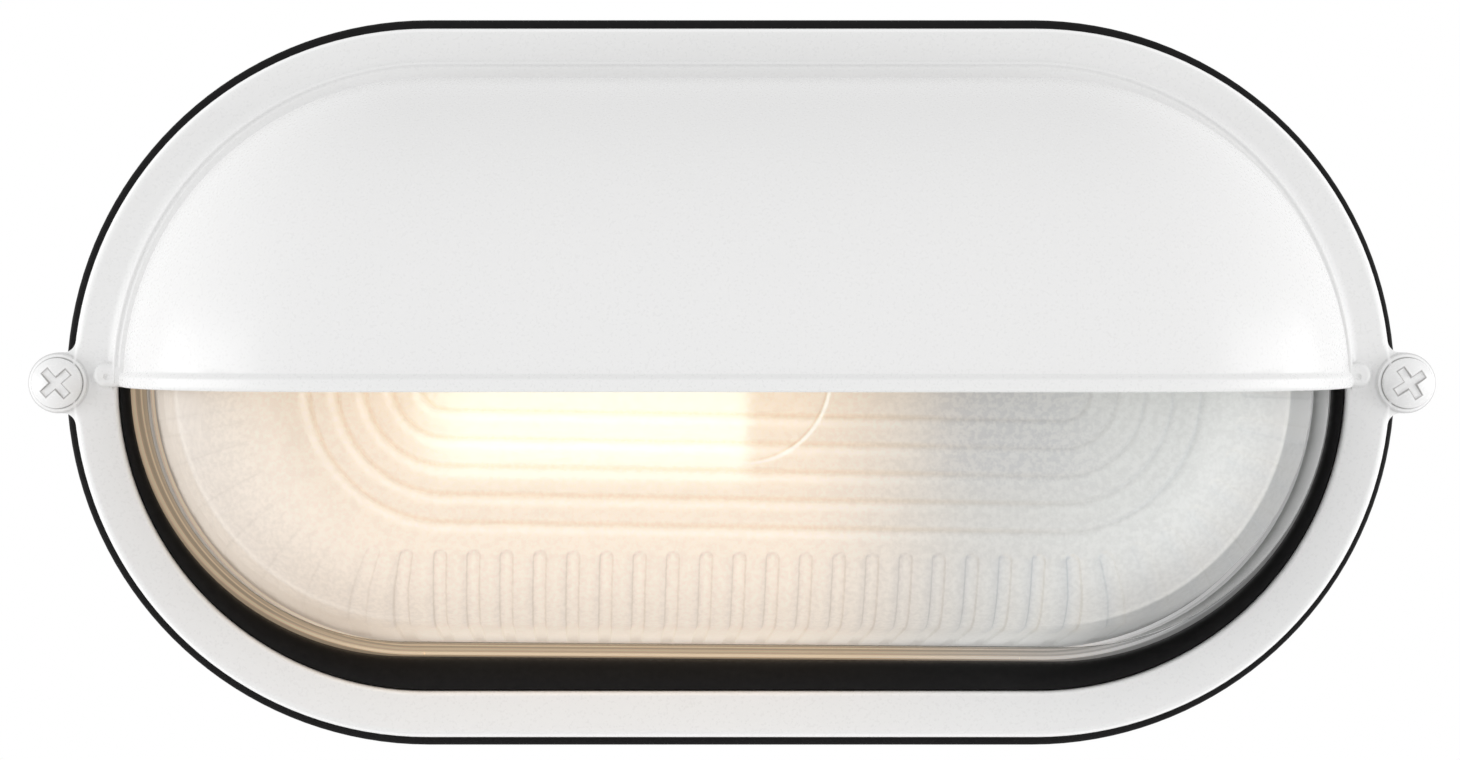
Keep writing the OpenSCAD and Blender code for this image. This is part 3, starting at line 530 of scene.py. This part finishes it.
class Mat:
    """Short way to wire a node material."""

    def __init__(self, name):
        self.mat = bpy.data.materials.new(name)
        self.mat.use_nodes = True
        self.tree = self.mat.node_tree
        self.bsdf = self.tree.nodes["Principled BSDF"]

    def node(self, kind, **values):
        n = self.tree.nodes.new(kind)
        for k, v in values.items():
            setattr(n, k, v)
        return n

    def link(self, a, b):
        self.tree.links.new(a, b)

    def value(self, socket, v):
        if hasattr(v, "links"):
            self.link(v, socket)
        else:
            socket.default_value = v

    def math(self, op, a, b=0.0, c=0.0, clamp=False):
        n = self.node("ShaderNodeMath", operation=op, use_clamp=clamp)
        for s, v in zip(n.inputs, (a, b, c)):
            self.value(s, v)
        return n.outputs[0]

    def add(self, a, b):
        return self.math("ADD", a, b)

    def sub(self, a, b):
        return self.math("SUBTRACT", a, b)

    def mul(self, a, b):
        return self.math("MULTIPLY", a, b)

    def coords(self):
        return self.node("ShaderNodeTexCoord").outputs["Object"]

    def lying(self, degrees=0.0):
        """X, Y and Z in mm in the lying frame, turned back by an angle about Z."""
        s = self.node("ShaderNodeSeparateXYZ")
        self.link(self.coords(), s.inputs[0])
        x, y, z = (self.mul(s.outputs[i], k) for i, k in ((0, 1000.0), (2, 1000.0), (1, -1000.0)))
        c, t = math.cos(math.radians(degrees)), math.sin(math.radians(degrees))
        return self.sub(self.mul(x, c), self.mul(y, t)), self.add(self.mul(x, t), self.mul(y, c)), z

    def attribute(self, name):
        return self.node("ShaderNodeAttribute", attribute_name=name).outputs["Fac"]

    def noise(self, per_mm, detail=3.0, rough=0.5):
        n = self.node("ShaderNodeTexNoise")
        n.inputs["Scale"].default_value = per_mm * 1000
        n.inputs["Detail"].default_value = detail
        n.inputs["Roughness"].default_value = rough
        self.link(self.coords(), n.inputs["Vector"])
        return n.outputs["Fac"]

    def mix(self, fac, a, b, blend="MIX"):
        n = self.node("ShaderNodeMix", data_type="RGBA", blend_type=blend)
        self.value(n.inputs[0], fac)
        for s, v in ((n.inputs[6], a), (n.inputs[7], b)):
            self.value(s, v if hasattr(v, "links") or len(v) == 4 else (*v, 1.0))
        return n.outputs[2]

    def range(self, v, a, b, c=0.0, d=1.0, smooth=False):
        n = self.node("ShaderNodeMapRange", interpolation_type="SMOOTHSTEP" if smooth else "LINEAR")
        for s, x in zip(n.inputs, (v, a, b, c, d)):
            self.value(s, x)
        return n.outputs[0]

    def gauss(self, v, centre, width):
        d = self.math("DIVIDE", self.sub(v, centre), width)
        return self.math("EXPONENT", self.mul(self.mul(d, d), -1.0))

    def stadium(self, x, y, run):
        """Distance in mm from the middle line of a stadium."""
        over = self.math("MAXIMUM", self.sub(self.math("ABSOLUTE", x), run), 0.0)
        return self.math("SQRT", self.add(self.mul(over, over), self.mul(y, y)))

    def bump(self, height, strength, distance_mm, bevel_mm=0.0):
        n = self.node("ShaderNodeBump")
        n.inputs["Strength"].default_value = strength
        n.inputs["Distance"].default_value = distance_mm * 0.001
        self.link(height, n.inputs["Height"])
        if bevel_mm:
            b = self.node("ShaderNodeBevel", samples=6)
            b.inputs["Radius"].default_value = bevel_mm * 0.001
            self.link(b.outputs[0], n.inputs["Normal"])
        self.link(n.outputs[0], self.bsdf.inputs["Normal"])

    def set(self, **values):
        for k, v in values.items():
            self.value(self.bsdf.inputs[k.replace("_", " ")], v)
        return self


def paint(name, color, rough=0.3, bevel=0.0, heads=False, recess=None):
    """White enamel with a fine grain; where asked, painted shade and highlights round each screw head and
    along the cover's edges, or along a screw's recess.
    """
    m = Mat(name)
    grain = m.noise(2.5, 1.0, 0.5)
    low = tuple(c * 0.99 for c in color)
    body = m.mix(m.range(grain, 0.35, 0.65), low, color)
    if heads:
        x, y, _ = m.lying()
        over = m.sub(m.math("ABSOLUTE", x), SCREW_X)
        r = m.math("SQRT", m.add(m.mul(over, over), m.mul(y, y)))
        # painted shade in the gap round the screw head, a painted highlight on the seat's rim and a painted
        # shade ring just outside the seat
        gap_shade = m.mul(m.range(r, HEAD_R - 0.14, HEAD_R - 0.02),
                     m.range(r, HEAD_R + 0.04, HEAD_R + 0.2, 1.0, 0.0))
        body = m.mix(m.mul(gap_shade, 0.75), body, (0.12, 0.115, 0.11))
        body = m.mix(m.mul(m.gauss(r, SEAT_R - 0.2, 0.16), 0.9), body, (0.98, 0.98, 0.98))
        body = m.mix(m.mul(m.gauss(r, SEAT_R + 0.2, 0.14), 0.3), body, (0.4, 0.4, 0.4))
        # painted highlights along the rounded edges of the frame and the opening
        outer = m.gauss(m.stadium(x, y, END_RUN), FRAME_R - 0.35, 0.22)
        inner = m.mul(m.gauss(m.stadium(x, y, OPENING_RUN), OPENING_R + 0.32, 0.24),
                      m.range(y, -0.4, -0.8))
        body = m.mix(m.mul(m.add(outer, inner), 0.9), body, (0.99, 0.99, 0.99))
    if recess:
        side, turn = recess
        x, y, _ = m.lying()
        c, t = math.cos(math.radians(turn)), math.sin(math.radians(turn))
        dx = m.sub(x, side * SCREW_X)
        u = m.math("ABSOLUTE", m.add(m.mul(dx, c), m.mul(y, t)))
        v = m.math("ABSOLUTE", m.sub(m.mul(y, c), m.mul(dx, t)))
        out = m.math("MAXIMUM", m.sub(m.math("MAXIMUM", u, v), RECESS_ARM),
                     m.sub(m.math("MINIMUM", u, v), RECESS_HALF))
        # painted light on the recess floor, painted shade along its edges and a painted highlight on its rim
        body = m.mix(m.range(out, -0.2, -0.3), body, (0.95, 0.95, 0.95))
        body = m.mix(m.mul(m.gauss(out, -0.08, 0.1), 0.8), body, (0.3, 0.29, 0.28))
        body = m.mix(m.mul(m.gauss(out, 0.2, 0.1), 0.9), body, (0.94, 0.94, 0.94))
    m.set(Base_Color=body, Roughness=m.range(grain, 0.3, 0.7, rough - 0.04, rough + 0.04))
    if bevel:
        m.bump(grain, 0.02, 0.02, bevel)
    return m.mat


def rubber(name):
    m = Mat(name)
    n = m.noise(1.2, 2.0, 0.6)
    m.set(Base_Color=m.mix(n, (0.006, 0.006, 0.0065), (0.013, 0.0125, 0.0125)),
          Roughness=m.range(n, 0.3, 0.7, 0.42, 0.55))
    m.bsdf.inputs["Specular IOR Level"].default_value = 0.09
    m.bump(n, 0.15, 0.05)
    return m.mat


def plain(name, color, rough, metallic=0.0, grain=0.8, spread=0.06, bevel=0.12):
    m = Mat(name)
    n = m.noise(grain, 4.0)
    low = tuple(c * (1 - spread) for c in color)
    m.set(Base_Color=m.mix(n, low, color), Roughness=m.range(n, 0.3, 0.7, rough - 0.06, rough + 0.06))
    m.bsdf.inputs["Metallic"].default_value = metallic
    m.bump(n, 0.1, 0.04, bevel)
    return m.mat


def clear_glass(name):
    """Outside of the glass: seen through, with the gloss of its surface."""
    m = Mat(name)
    m.tree.nodes.remove(m.bsdf)
    grain = m.noise(0.5, 2.0)
    gloss = m.node("ShaderNodeBsdfGlossy")
    m.value(gloss.inputs["Roughness"], m.range(grain, 0.3, 0.7, 0.03, 0.06))
    through = m.node("ShaderNodeBsdfTransparent")
    edge = m.node("ShaderNodeFresnel")
    edge.inputs["IOR"].default_value = GLOSS_IOR
    blend = m.node("ShaderNodeMixShader")
    for s, v in zip(blend.inputs, (edge.outputs[0], through.outputs[0], gloss.outputs[0])):
        m.link(v, s)
    m.link(blend.outputs[0], m.tree.nodes["Material Output"].inputs["Surface"])
    return m.mat


GLOW_X = (-105.0, -45.0, 4.0, 38.0)
CORE_LEFT, CORE_RIGHT, CORE_HALF = (-51.0, -38.0), 1.2, (16.5, 8.5)
WARM_TO_COLD = (15.0, 66.0)
CAVITY_LEFT, CAVITY_UP, CAVITY_RUN, CAVITY_EDGE = 1.19, 0.48, 45.9, (35.2, 35.7)
ENDS_FROM, ENDS_TO = 40.0, 62.0
MARK_X, MARK_Y, MARK_R = 0.54, 1.39, 12.57
GLOSS_IOR, FOOT_GLOW = 1.22, (0.42, 0.42, 0.42)
# the bands at the foot of the glass, painted highlights and refractions of its clear edge, as (place, grey
# level), from inside to outside
BANDS_MIDDLE = ((0.0, 0.98), (0.05, 0.6), (0.12, 0.42), (0.21, 0.46), (0.33, 0.66), (0.42, 0.62), (0.5, 0.5),
                (0.58, 0.58), (0.66, 0.85), (0.78, 1.0), (0.87, 0.9), (0.95, 0.5), (1.0, 0.35))
BANDS_LEFT = ((0.0, 0.7), (0.05, 0.5), (0.12, 0.4), (0.28, 0.46), (0.4, 0.42), (0.46, 0.72), (0.51, 0.42),
              (0.6, 0.36), (0.7, 0.42), (0.76, 0.68), (0.88, 0.62), (1.0, 0.4))
BANDS_RIGHT = ((0.0, 0.76), (0.40, 0.72), (0.46, 0.95), (0.50, 0.28), (0.66, 0.12), (0.73, 0.92),
               (0.78, 0.38), (0.9, 0.5), (1.0, 0.28))
FOOT_WARM, FOOT_COLD = (1.22, 0.96, 0.68), (1.0, 1.0, 1.0)


def ramp(m, fac, stops):
    n = m.node("ShaderNodeValToRGB")
    e = n.color_ramp.elements
    while len(e) < len(stops):
        e.new(0.5)
    for item, (place, level) in zip(e, stops):
        item.position = place
        item.color = (level, level, level, 1.0)
    m.link(fac, n.inputs[0])
    return n.outputs[0]


def frosted_glass(name):
    """Inside of the glass: frosting with the lit bulb behind it painted in as glow, and painted light and
    shade on the rings, flutes, cavity outline and the bands at its foot.
    """
    m = Mat(name)
    x, y, z = m.lying(GLASS_TURN)
    grain = m.noise(1.5, 1.0, 0.6)
    speck = m.mix(m.range(grain, 0.35, 0.65), (0.955, 0.955, 0.955), (1.03, 1.03, 1.03))
    # painted glow standing in for the bulb's light through the frosting: a warm halo, an even spill and a
    # whiter core with a sharp right end
    halo = m.mul(m.range(x, GLOW_X[0], GLOW_X[1], 0.0, 1.0, True),
                 m.range(x, GLOW_X[3], GLOW_X[2], 0.0, 1.0, True))
    halo = m.mul(halo, m.gauss(y, -5.0, 55.0))
    core = m.mul(m.range(x, CORE_RIGHT + 1.6, CORE_RIGHT - 1.8, 0.0, 1.0, True),
                 m.range(x, CORE_LEFT[0], CORE_LEFT[1], 0.0, 1.0, True))
    core = m.mul(core, m.range(m.math("ABSOLUTE", y), CORE_HALF[0], CORE_HALF[1], 0.0, 1.0, True))
    right = m.range(x, WARM_TO_COLD[0], WARM_TO_COLD[1], 0.0, 1.0, True)
    body = m.mix(right, (0.70, 0.68, 0.65), (0.74, 0.745, 0.74))
    body = m.mix(1.0, body, speck, "MULTIPLY")
    spill = m.mix(right, (0.13, 0.13, 0.125), (0.19, 0.195, 0.185))
    glow = m.mix(1.0, spill, m.mix(halo, (0.0, 0.0, 0.0), (0.32, 0.2, 0.09)), "ADD")
    glow = m.mix(core, glow, (0.62, 0.60, 0.46))
    # past the outline of the base's cavity, which lies behind it, painted shade darkens the frosting and a
    # painted bright line follows the outline
    behind = m.stadium(m.add(x, CAVITY_LEFT), m.sub(y, CAVITY_UP), CAVITY_RUN)
    at_ends = m.range(m.math("ABSOLUTE", x), ENDS_FROM, ENDS_TO, 0.0, 1.0, True)
    shade = m.mul(m.range(behind, CAVITY_EDGE[0], CAVITY_EDGE[1], 0.0, 1.0, True), at_ends)
    shade_line = m.mul(m.gauss(behind, 35.0, 0.3), at_ends)
    from_middle = m.stadium(x, y, DOME_RUN)
    low_light = m.mul(m.range(from_middle, 35.5, 40.5, 0.0, 1.0, True), m.sub(1.0, at_ends))
    dim = m.mix(m.range(x, -40.0, 62.0, 0.0, 1.0, True), (0.95, 0.93, 0.90), (0.68, 0.69, 0.70))
    # rings: a painted dark line with a painted brighter band of the bulb's light outside it
    rx, ry, _ = m.lying(GLASS_TURN + RING_TURN)
    ring_r = m.stadium(m.sub(rx, RING_SHIFT), ry, RING_RUN)
    k = m.math("ROUND", m.math("DIVIDE", ring_r, RING_PITCH))
    k = m.math("MINIMUM", m.math("MAXIMUM", k, 1.0), float(RINGS))
    u = m.sub(ring_r, m.mul(k, RING_PITCH))
    line = m.gauss(u, 0.0, 0.36)
    band = m.mul(m.gauss(u, 1.15, 0.55), m.range(halo, 0.0, 1.0, 0.25, 1.0))
    tint = m.mix(right, (0.9, 0.83, 0.74), (0.86, 0.87, 0.89))
    ring_tint = m.mix(right, (0.84, 0.76, 0.66), (0.88, 0.89, 0.92))
    body = m.mix(m.mul(line, 0.5), body, m.mix(1.0, body, tint, "MULTIPLY"))
    glow = m.mix(m.mul(line, 0.6), glow, m.mix(1.0, glow, ring_tint, "MULTIPLY"))
    glow = m.mix(m.mul(band, 0.9), glow, m.mix(1.0, glow, (0.11, 0.12, 0.12), "ADD"))
    # painted light near the foot, away from the ends, and painted shade where the crown's corner turns down
    glow = m.mix(low_light, glow, m.mix(1.0, glow, (0.09, 0.09, 0.09), "ADD"))
    glow = m.mix(m.gauss(from_middle, 34.0, 5.0), glow, m.mix(1.0, glow, (0.86, 0.83, 0.78), "MULTIPLY"))
    # flutes: the fine edges, painted shade on the left edge of each and, on the cold side, a painted
    # highlight on the right edge
    for key, warm, cold in (("line_left", (0.8, 0.8, 0.83), (0.74, 0.78, 0.84)),
                            ("line_right", (0.88, 0.87, 0.88), (1.1, 1.06, 1.0))):
        edge = m.mul(m.attribute(key), 0.9)
        body = m.mix(edge, body, m.mix(1.0, body, m.mix(right, warm, cold), "MULTIPLY"))
        glow = m.mix(edge, glow, m.mix(1.0, glow, m.mix(right, warm, cold), "MULTIPLY"))
    # round mark of the lampholder's end: a darker line, and just outside it a painted bright line in the glow
    dx, dy = m.sub(x, MARK_X), m.sub(y, MARK_Y)
    from_mark = m.math("SQRT", m.add(m.mul(dx, dx), m.mul(dy, dy)))
    seen = m.range(m.sub(m.mul(dx, 0.75), m.mul(dy, 0.15)), -1.0, 8.0, 0.0, 1.0, True)
    arc_line = m.mul(m.gauss(from_mark, MARK_R, 0.24), seen)
    arc_dark = m.mul(m.gauss(from_mark, MARK_R - 0.45, 0.2), seen)
    body = m.mix(m.mul(arc_dark, 0.5), body, (0.42, 0.36, 0.28))
    glow = m.mix(m.mul(arc_line, 0.8), glow, (0.62, 0.62, 0.56))
    # patch where the lampholder shows grey behind the frosting
    patch = m.mul(m.mul(m.range(x, 24.0, 33.0, 0.0, 1.0, True), m.range(x, 56.0, 44.0, 0.0, 1.0, True)),
                  m.range(m.math("ABSOLUTE", y), 17.0, 10.0, 0.0, 1.0, True))
    patch = m.mul(patch, 0.75)
    body = m.mix(patch, body, m.mix(m.range(grain, 0.4, 0.6), (0.56, 0.565, 0.585), (0.66, 0.66, 0.66)))
    # painted shade on the steep sides of the dome towards its ends
    steep = m.mul(m.mul(m.range(from_middle, 22.0, 33.0, 0.0, 1.0, True), at_ends), 0.9)
    side_dim = m.mix(right, (0.84, 0.82, 0.81), (0.70, 0.69, 0.69))
    body = m.mix(steep, body, m.mix(1.0, body, side_dim, "MULTIPLY"))
    glow = m.mix(steep, glow, m.mix(1.0, glow, side_dim, "MULTIPLY"))
    body = m.mix(shade, body, m.mix(1.0, body, dim, "MULTIPLY"))
    glow = m.mix(shade, glow, m.mix(1.0, glow, dim, "MULTIPLY"))
    glow = m.mix(m.mul(shade_line, 0.9), glow, m.mix(1.0, glow, (0.06, 0.06, 0.055), "ADD"))
    glow = m.mix(1.0, glow, speck, "MULTIPLY")
    # bands on the flange under the clear glass, wider towards the ends: painted highlights and refractions,
    # lifted with painted glow
    r = m.stadium(x, y, DOME_RUN)
    over = m.math("DIVIDE", m.math("MAXIMUM", m.sub(m.math("ABSOLUTE", x), DOME_RUN), 0.0), r)
    over = m.mul(over, over)
    q = m.math("DIVIDE", m.sub(r, m.add(m.mul(over, 0.15), 41.45)), m.add(m.mul(over, 1.8), 1.65))
    foot = m.mix(m.range(x, 15.0, 85.0, 0.0, 1.0, True), ramp(m, q, BANDS_LEFT), ramp(m, q, BANDS_RIGHT))
    foot = m.mix(m.range(over, 0.0, 0.3), ramp(m, q, BANDS_MIDDLE), foot)
    foot_tint = m.mix(m.range(x, 15.0, 70.0, 0.0, 1.0, True), FOOT_WARM, FOOT_COLD)
    foot = m.mix(1.0, foot, foot_tint, "MULTIPLY")
    at_foot = m.range(z, FLANGE_Z + 0.5, FLANGE_Z + 0.2)
    body = m.mix(at_foot, body, foot)
    glow = m.mix(at_foot, glow, m.mix(1.0, foot, FOOT_GLOW, "MULTIPLY"))
    m.set(Base_Color=body, Emission_Color=glow, Emission_Strength=1.0)
    m.set(Roughness=m.range(grain, 0.3, 0.7, 0.5, 0.62))
    m.bsdf.inputs["Specular IOR Level"].default_value = 0.2
    m.bump(grain, 0.1, 0.06)
    return m.mat


WHITE = (0.84, 0.84, 0.838)
looks = {
    "white_casting": paint("white_paint", WHITE, bevel=0.25),
    "white_screw": paint("screw_paint", (0.86, 0.86, 0.86), 0.25),
    "black_rubber": rubber("black_rubber"),
    "frosted_glass": frosted_glass("frosted_glass"),
    "natural_nylon": plain("natural_nylon", (0.74, 0.72, 0.62), 0.5),
    "bulb_glass": plain("bulb_glass", (0.93, 0.91, 0.86), 0.35),
    "porcelain": plain("porcelain", (0.82, 0.81, 0.77), 0.16),
    "brass": plain("brass", (0.72, 0.52, 0.22), 0.35, 1.0),
    "zinc_steel": plain("zinc_steel", (0.6, 0.61, 0.63), 0.38, 1.0),
    "white_plastic": plain("white_plastic", (0.8, 0.79, 0.75), 0.5),
    "black_insulation": plain("black_insulation", (0.015, 0.015, 0.015), 0.4),
    "white_insulation": plain("white_insulation", (0.75, 0.75, 0.72), 0.4),
    "green_insulation": plain("green_insulation", (0.03, 0.3, 0.08), 0.4),
    "green_steel": plain("green_steel", (0.04, 0.28, 0.1), 0.35),
}
slots = {s["node"]: s["material_slot"] for s in frame["record"]["subparts"]}
for name, obj in nodes.items():
    obj.data.materials.clear()
    obj.data.materials.append(looks[slots[name]])

detailed = {
    "cover_frame": (build_cover(), "cover", paint("cover_paint", WHITE, heads=True)),
    "glass_lens": (build_glass(), "cover", looks["frosted_glass"]),
    "cover_gasket": (build_gasket(), "cover", looks["black_rubber"]),
    "cover_screw_left": (build_screw(-1, TURNS[-1]), "screw_left",
                         paint("left_screw_paint", (0.9, 0.9, 0.9), 0.25, recess=(-1, TURNS[-1]))),
    "cover_screw_right": (build_screw(1, TURNS[1]), "screw_right",
                          paint("right_screw_paint", (0.9, 0.9, 0.9), 0.25, recess=(1, TURNS[1]))),
}
for node, (piece, body, look) in detailed.items():
    if node != "glass_lens":
        piece.data.materials.clear()
    piece.data.materials.append(look)
    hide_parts(node)
    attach(piece, body)
detailed["glass_lens"][0].data.materials.append(clear_glass("clear_glass"))


# Floor, studio light and camera

def floor_look():
    m = Mat("floor_look")
    n = m.noise(0.01, 2.0)
    m.set(Base_Color=m.mix(n, (0.86, 0.86, 0.86), (0.9, 0.9, 0.9)), Roughness=0.8)
    path = m.node("ShaderNodeLightPath")
    seen = m.math("MAXIMUM", path.outputs["Is Camera Ray"], path.outputs["Is Glossy Ray"])
    seen = m.math("MAXIMUM", seen, path.outputs["Is Transmission Ray"])
    m.set(Emission_Color=(1.0, 1.0, 1.0, 1.0), Emission_Strength=m.mul(seen, 0.25))
    return m.mat


FLOOR_Z, FLOOR_REACH, FLOOR_BACK = -0.32, 3, 1.4
floor_mesh = bpy.data.meshes.new("floor")
corners = ((-FLOOR_REACH, -FLOOR_REACH), (FLOOR_REACH, -FLOOR_REACH),
           (FLOOR_REACH, FLOOR_BACK), (-FLOOR_REACH, FLOOR_BACK))
floor_mesh.from_pydata([(x, y, FLOOR_Z) for x, y in corners], [], [(0, 1, 2, 3)])
floor_mesh.materials.append(floor_look())
floor = bpy.data.objects.new("floor", floor_mesh)
bpy.context.scene.collection.objects.link(floor)

WORLD_LEVEL = 0.81
world = bpy.data.worlds.new("studio")
bpy.context.scene.world = world
world.use_nodes = True
tree = world.node_tree
back = tree.nodes["Background"]
path = tree.nodes.new("ShaderNodeLightPath")
seen = path.outputs["Is Camera Ray"]
for other in ("Is Glossy Ray", "Is Transmission Ray"):
    either = tree.nodes.new("ShaderNodeMath")
    either.operation = "MAXIMUM"
    tree.links.new(seen, either.inputs[0])
    tree.links.new(path.outputs[other], either.inputs[1])
    seen = either.outputs[0]
lift = tree.nodes.new("ShaderNodeMapRange")
lift.inputs["To Min"].default_value = WORLD_LEVEL
lift.inputs["To Max"].default_value = 1.0
tree.links.new(seen, lift.inputs["Value"])
tree.links.new(lift.outputs[0], back.inputs["Strength"])
back.inputs["Color"].default_value = (1, 1, 1, 1)


def area(name, place, size, watts):
    light = bpy.data.lights.new(name, "AREA")
    light.shape = "RECTANGLE"
    light.size, light.size_y = size
    light.energy = watts
    obj = bpy.data.objects.new(name, light)
    obj.location = place
    obj.rotation_euler = (-Vector(place)).to_track_quat("-Z", "Y").to_euler()
    bpy.context.scene.collection.objects.link(obj)


LAMP_OUT, LAMP_FRONT, LAMP_SIZE, LAMP_WATTS = 1.29, -0.4, (1.4, 0.6), 6.0
area("left", (-LAMP_OUT, LAMP_FRONT, 0.0), LAMP_SIZE, LAMP_WATTS)
area("right", (LAMP_OUT, LAMP_FRONT, 0.0), LAMP_SIZE, LAMP_WATTS)

# Camera: where the photograph's perspective puts it
PHOTO_W, PHOTO_H = 1460.0, 760.0
PRINCIPAL = (600.0, 330.0)
MM_PER_PX, DISTANCE, SENSOR = 0.1535, 520.0, 36.0
OBJECT_PX = (732.0, 383.0)
cam = bpy.data.cameras.new("camera")
cam.sensor_width = SENSOR
cam.lens = SENSOR * DISTANCE / (MM_PER_PX * PHOTO_W)
cam.shift_x = (PHOTO_W / 2 - PRINCIPAL[0]) / PHOTO_W
cam.shift_y = (PRINCIPAL[1] - PHOTO_H / 2) / PHOTO_W
cam.clip_start = 0.01
cam_obj = bpy.data.objects.new("camera", cam)
cam_obj.location = ((PRINCIPAL[0] - OBJECT_PX[0]) * MM_PER_PX * 0.001, -(DISTANCE + FACE_Z) * 0.001,
                    (OBJECT_PX[1] - PRINCIPAL[1]) * MM_PER_PX * 0.001)
cam_obj.rotation_euler = (math.pi / 2, 0, 0)
bpy.context.scene.collection.objects.link(cam_obj)
bpy.context.scene.camera = cam_obj

bpy.context.scene.view_settings.view_transform = "Standard"

bpy.context.view_layer.update()
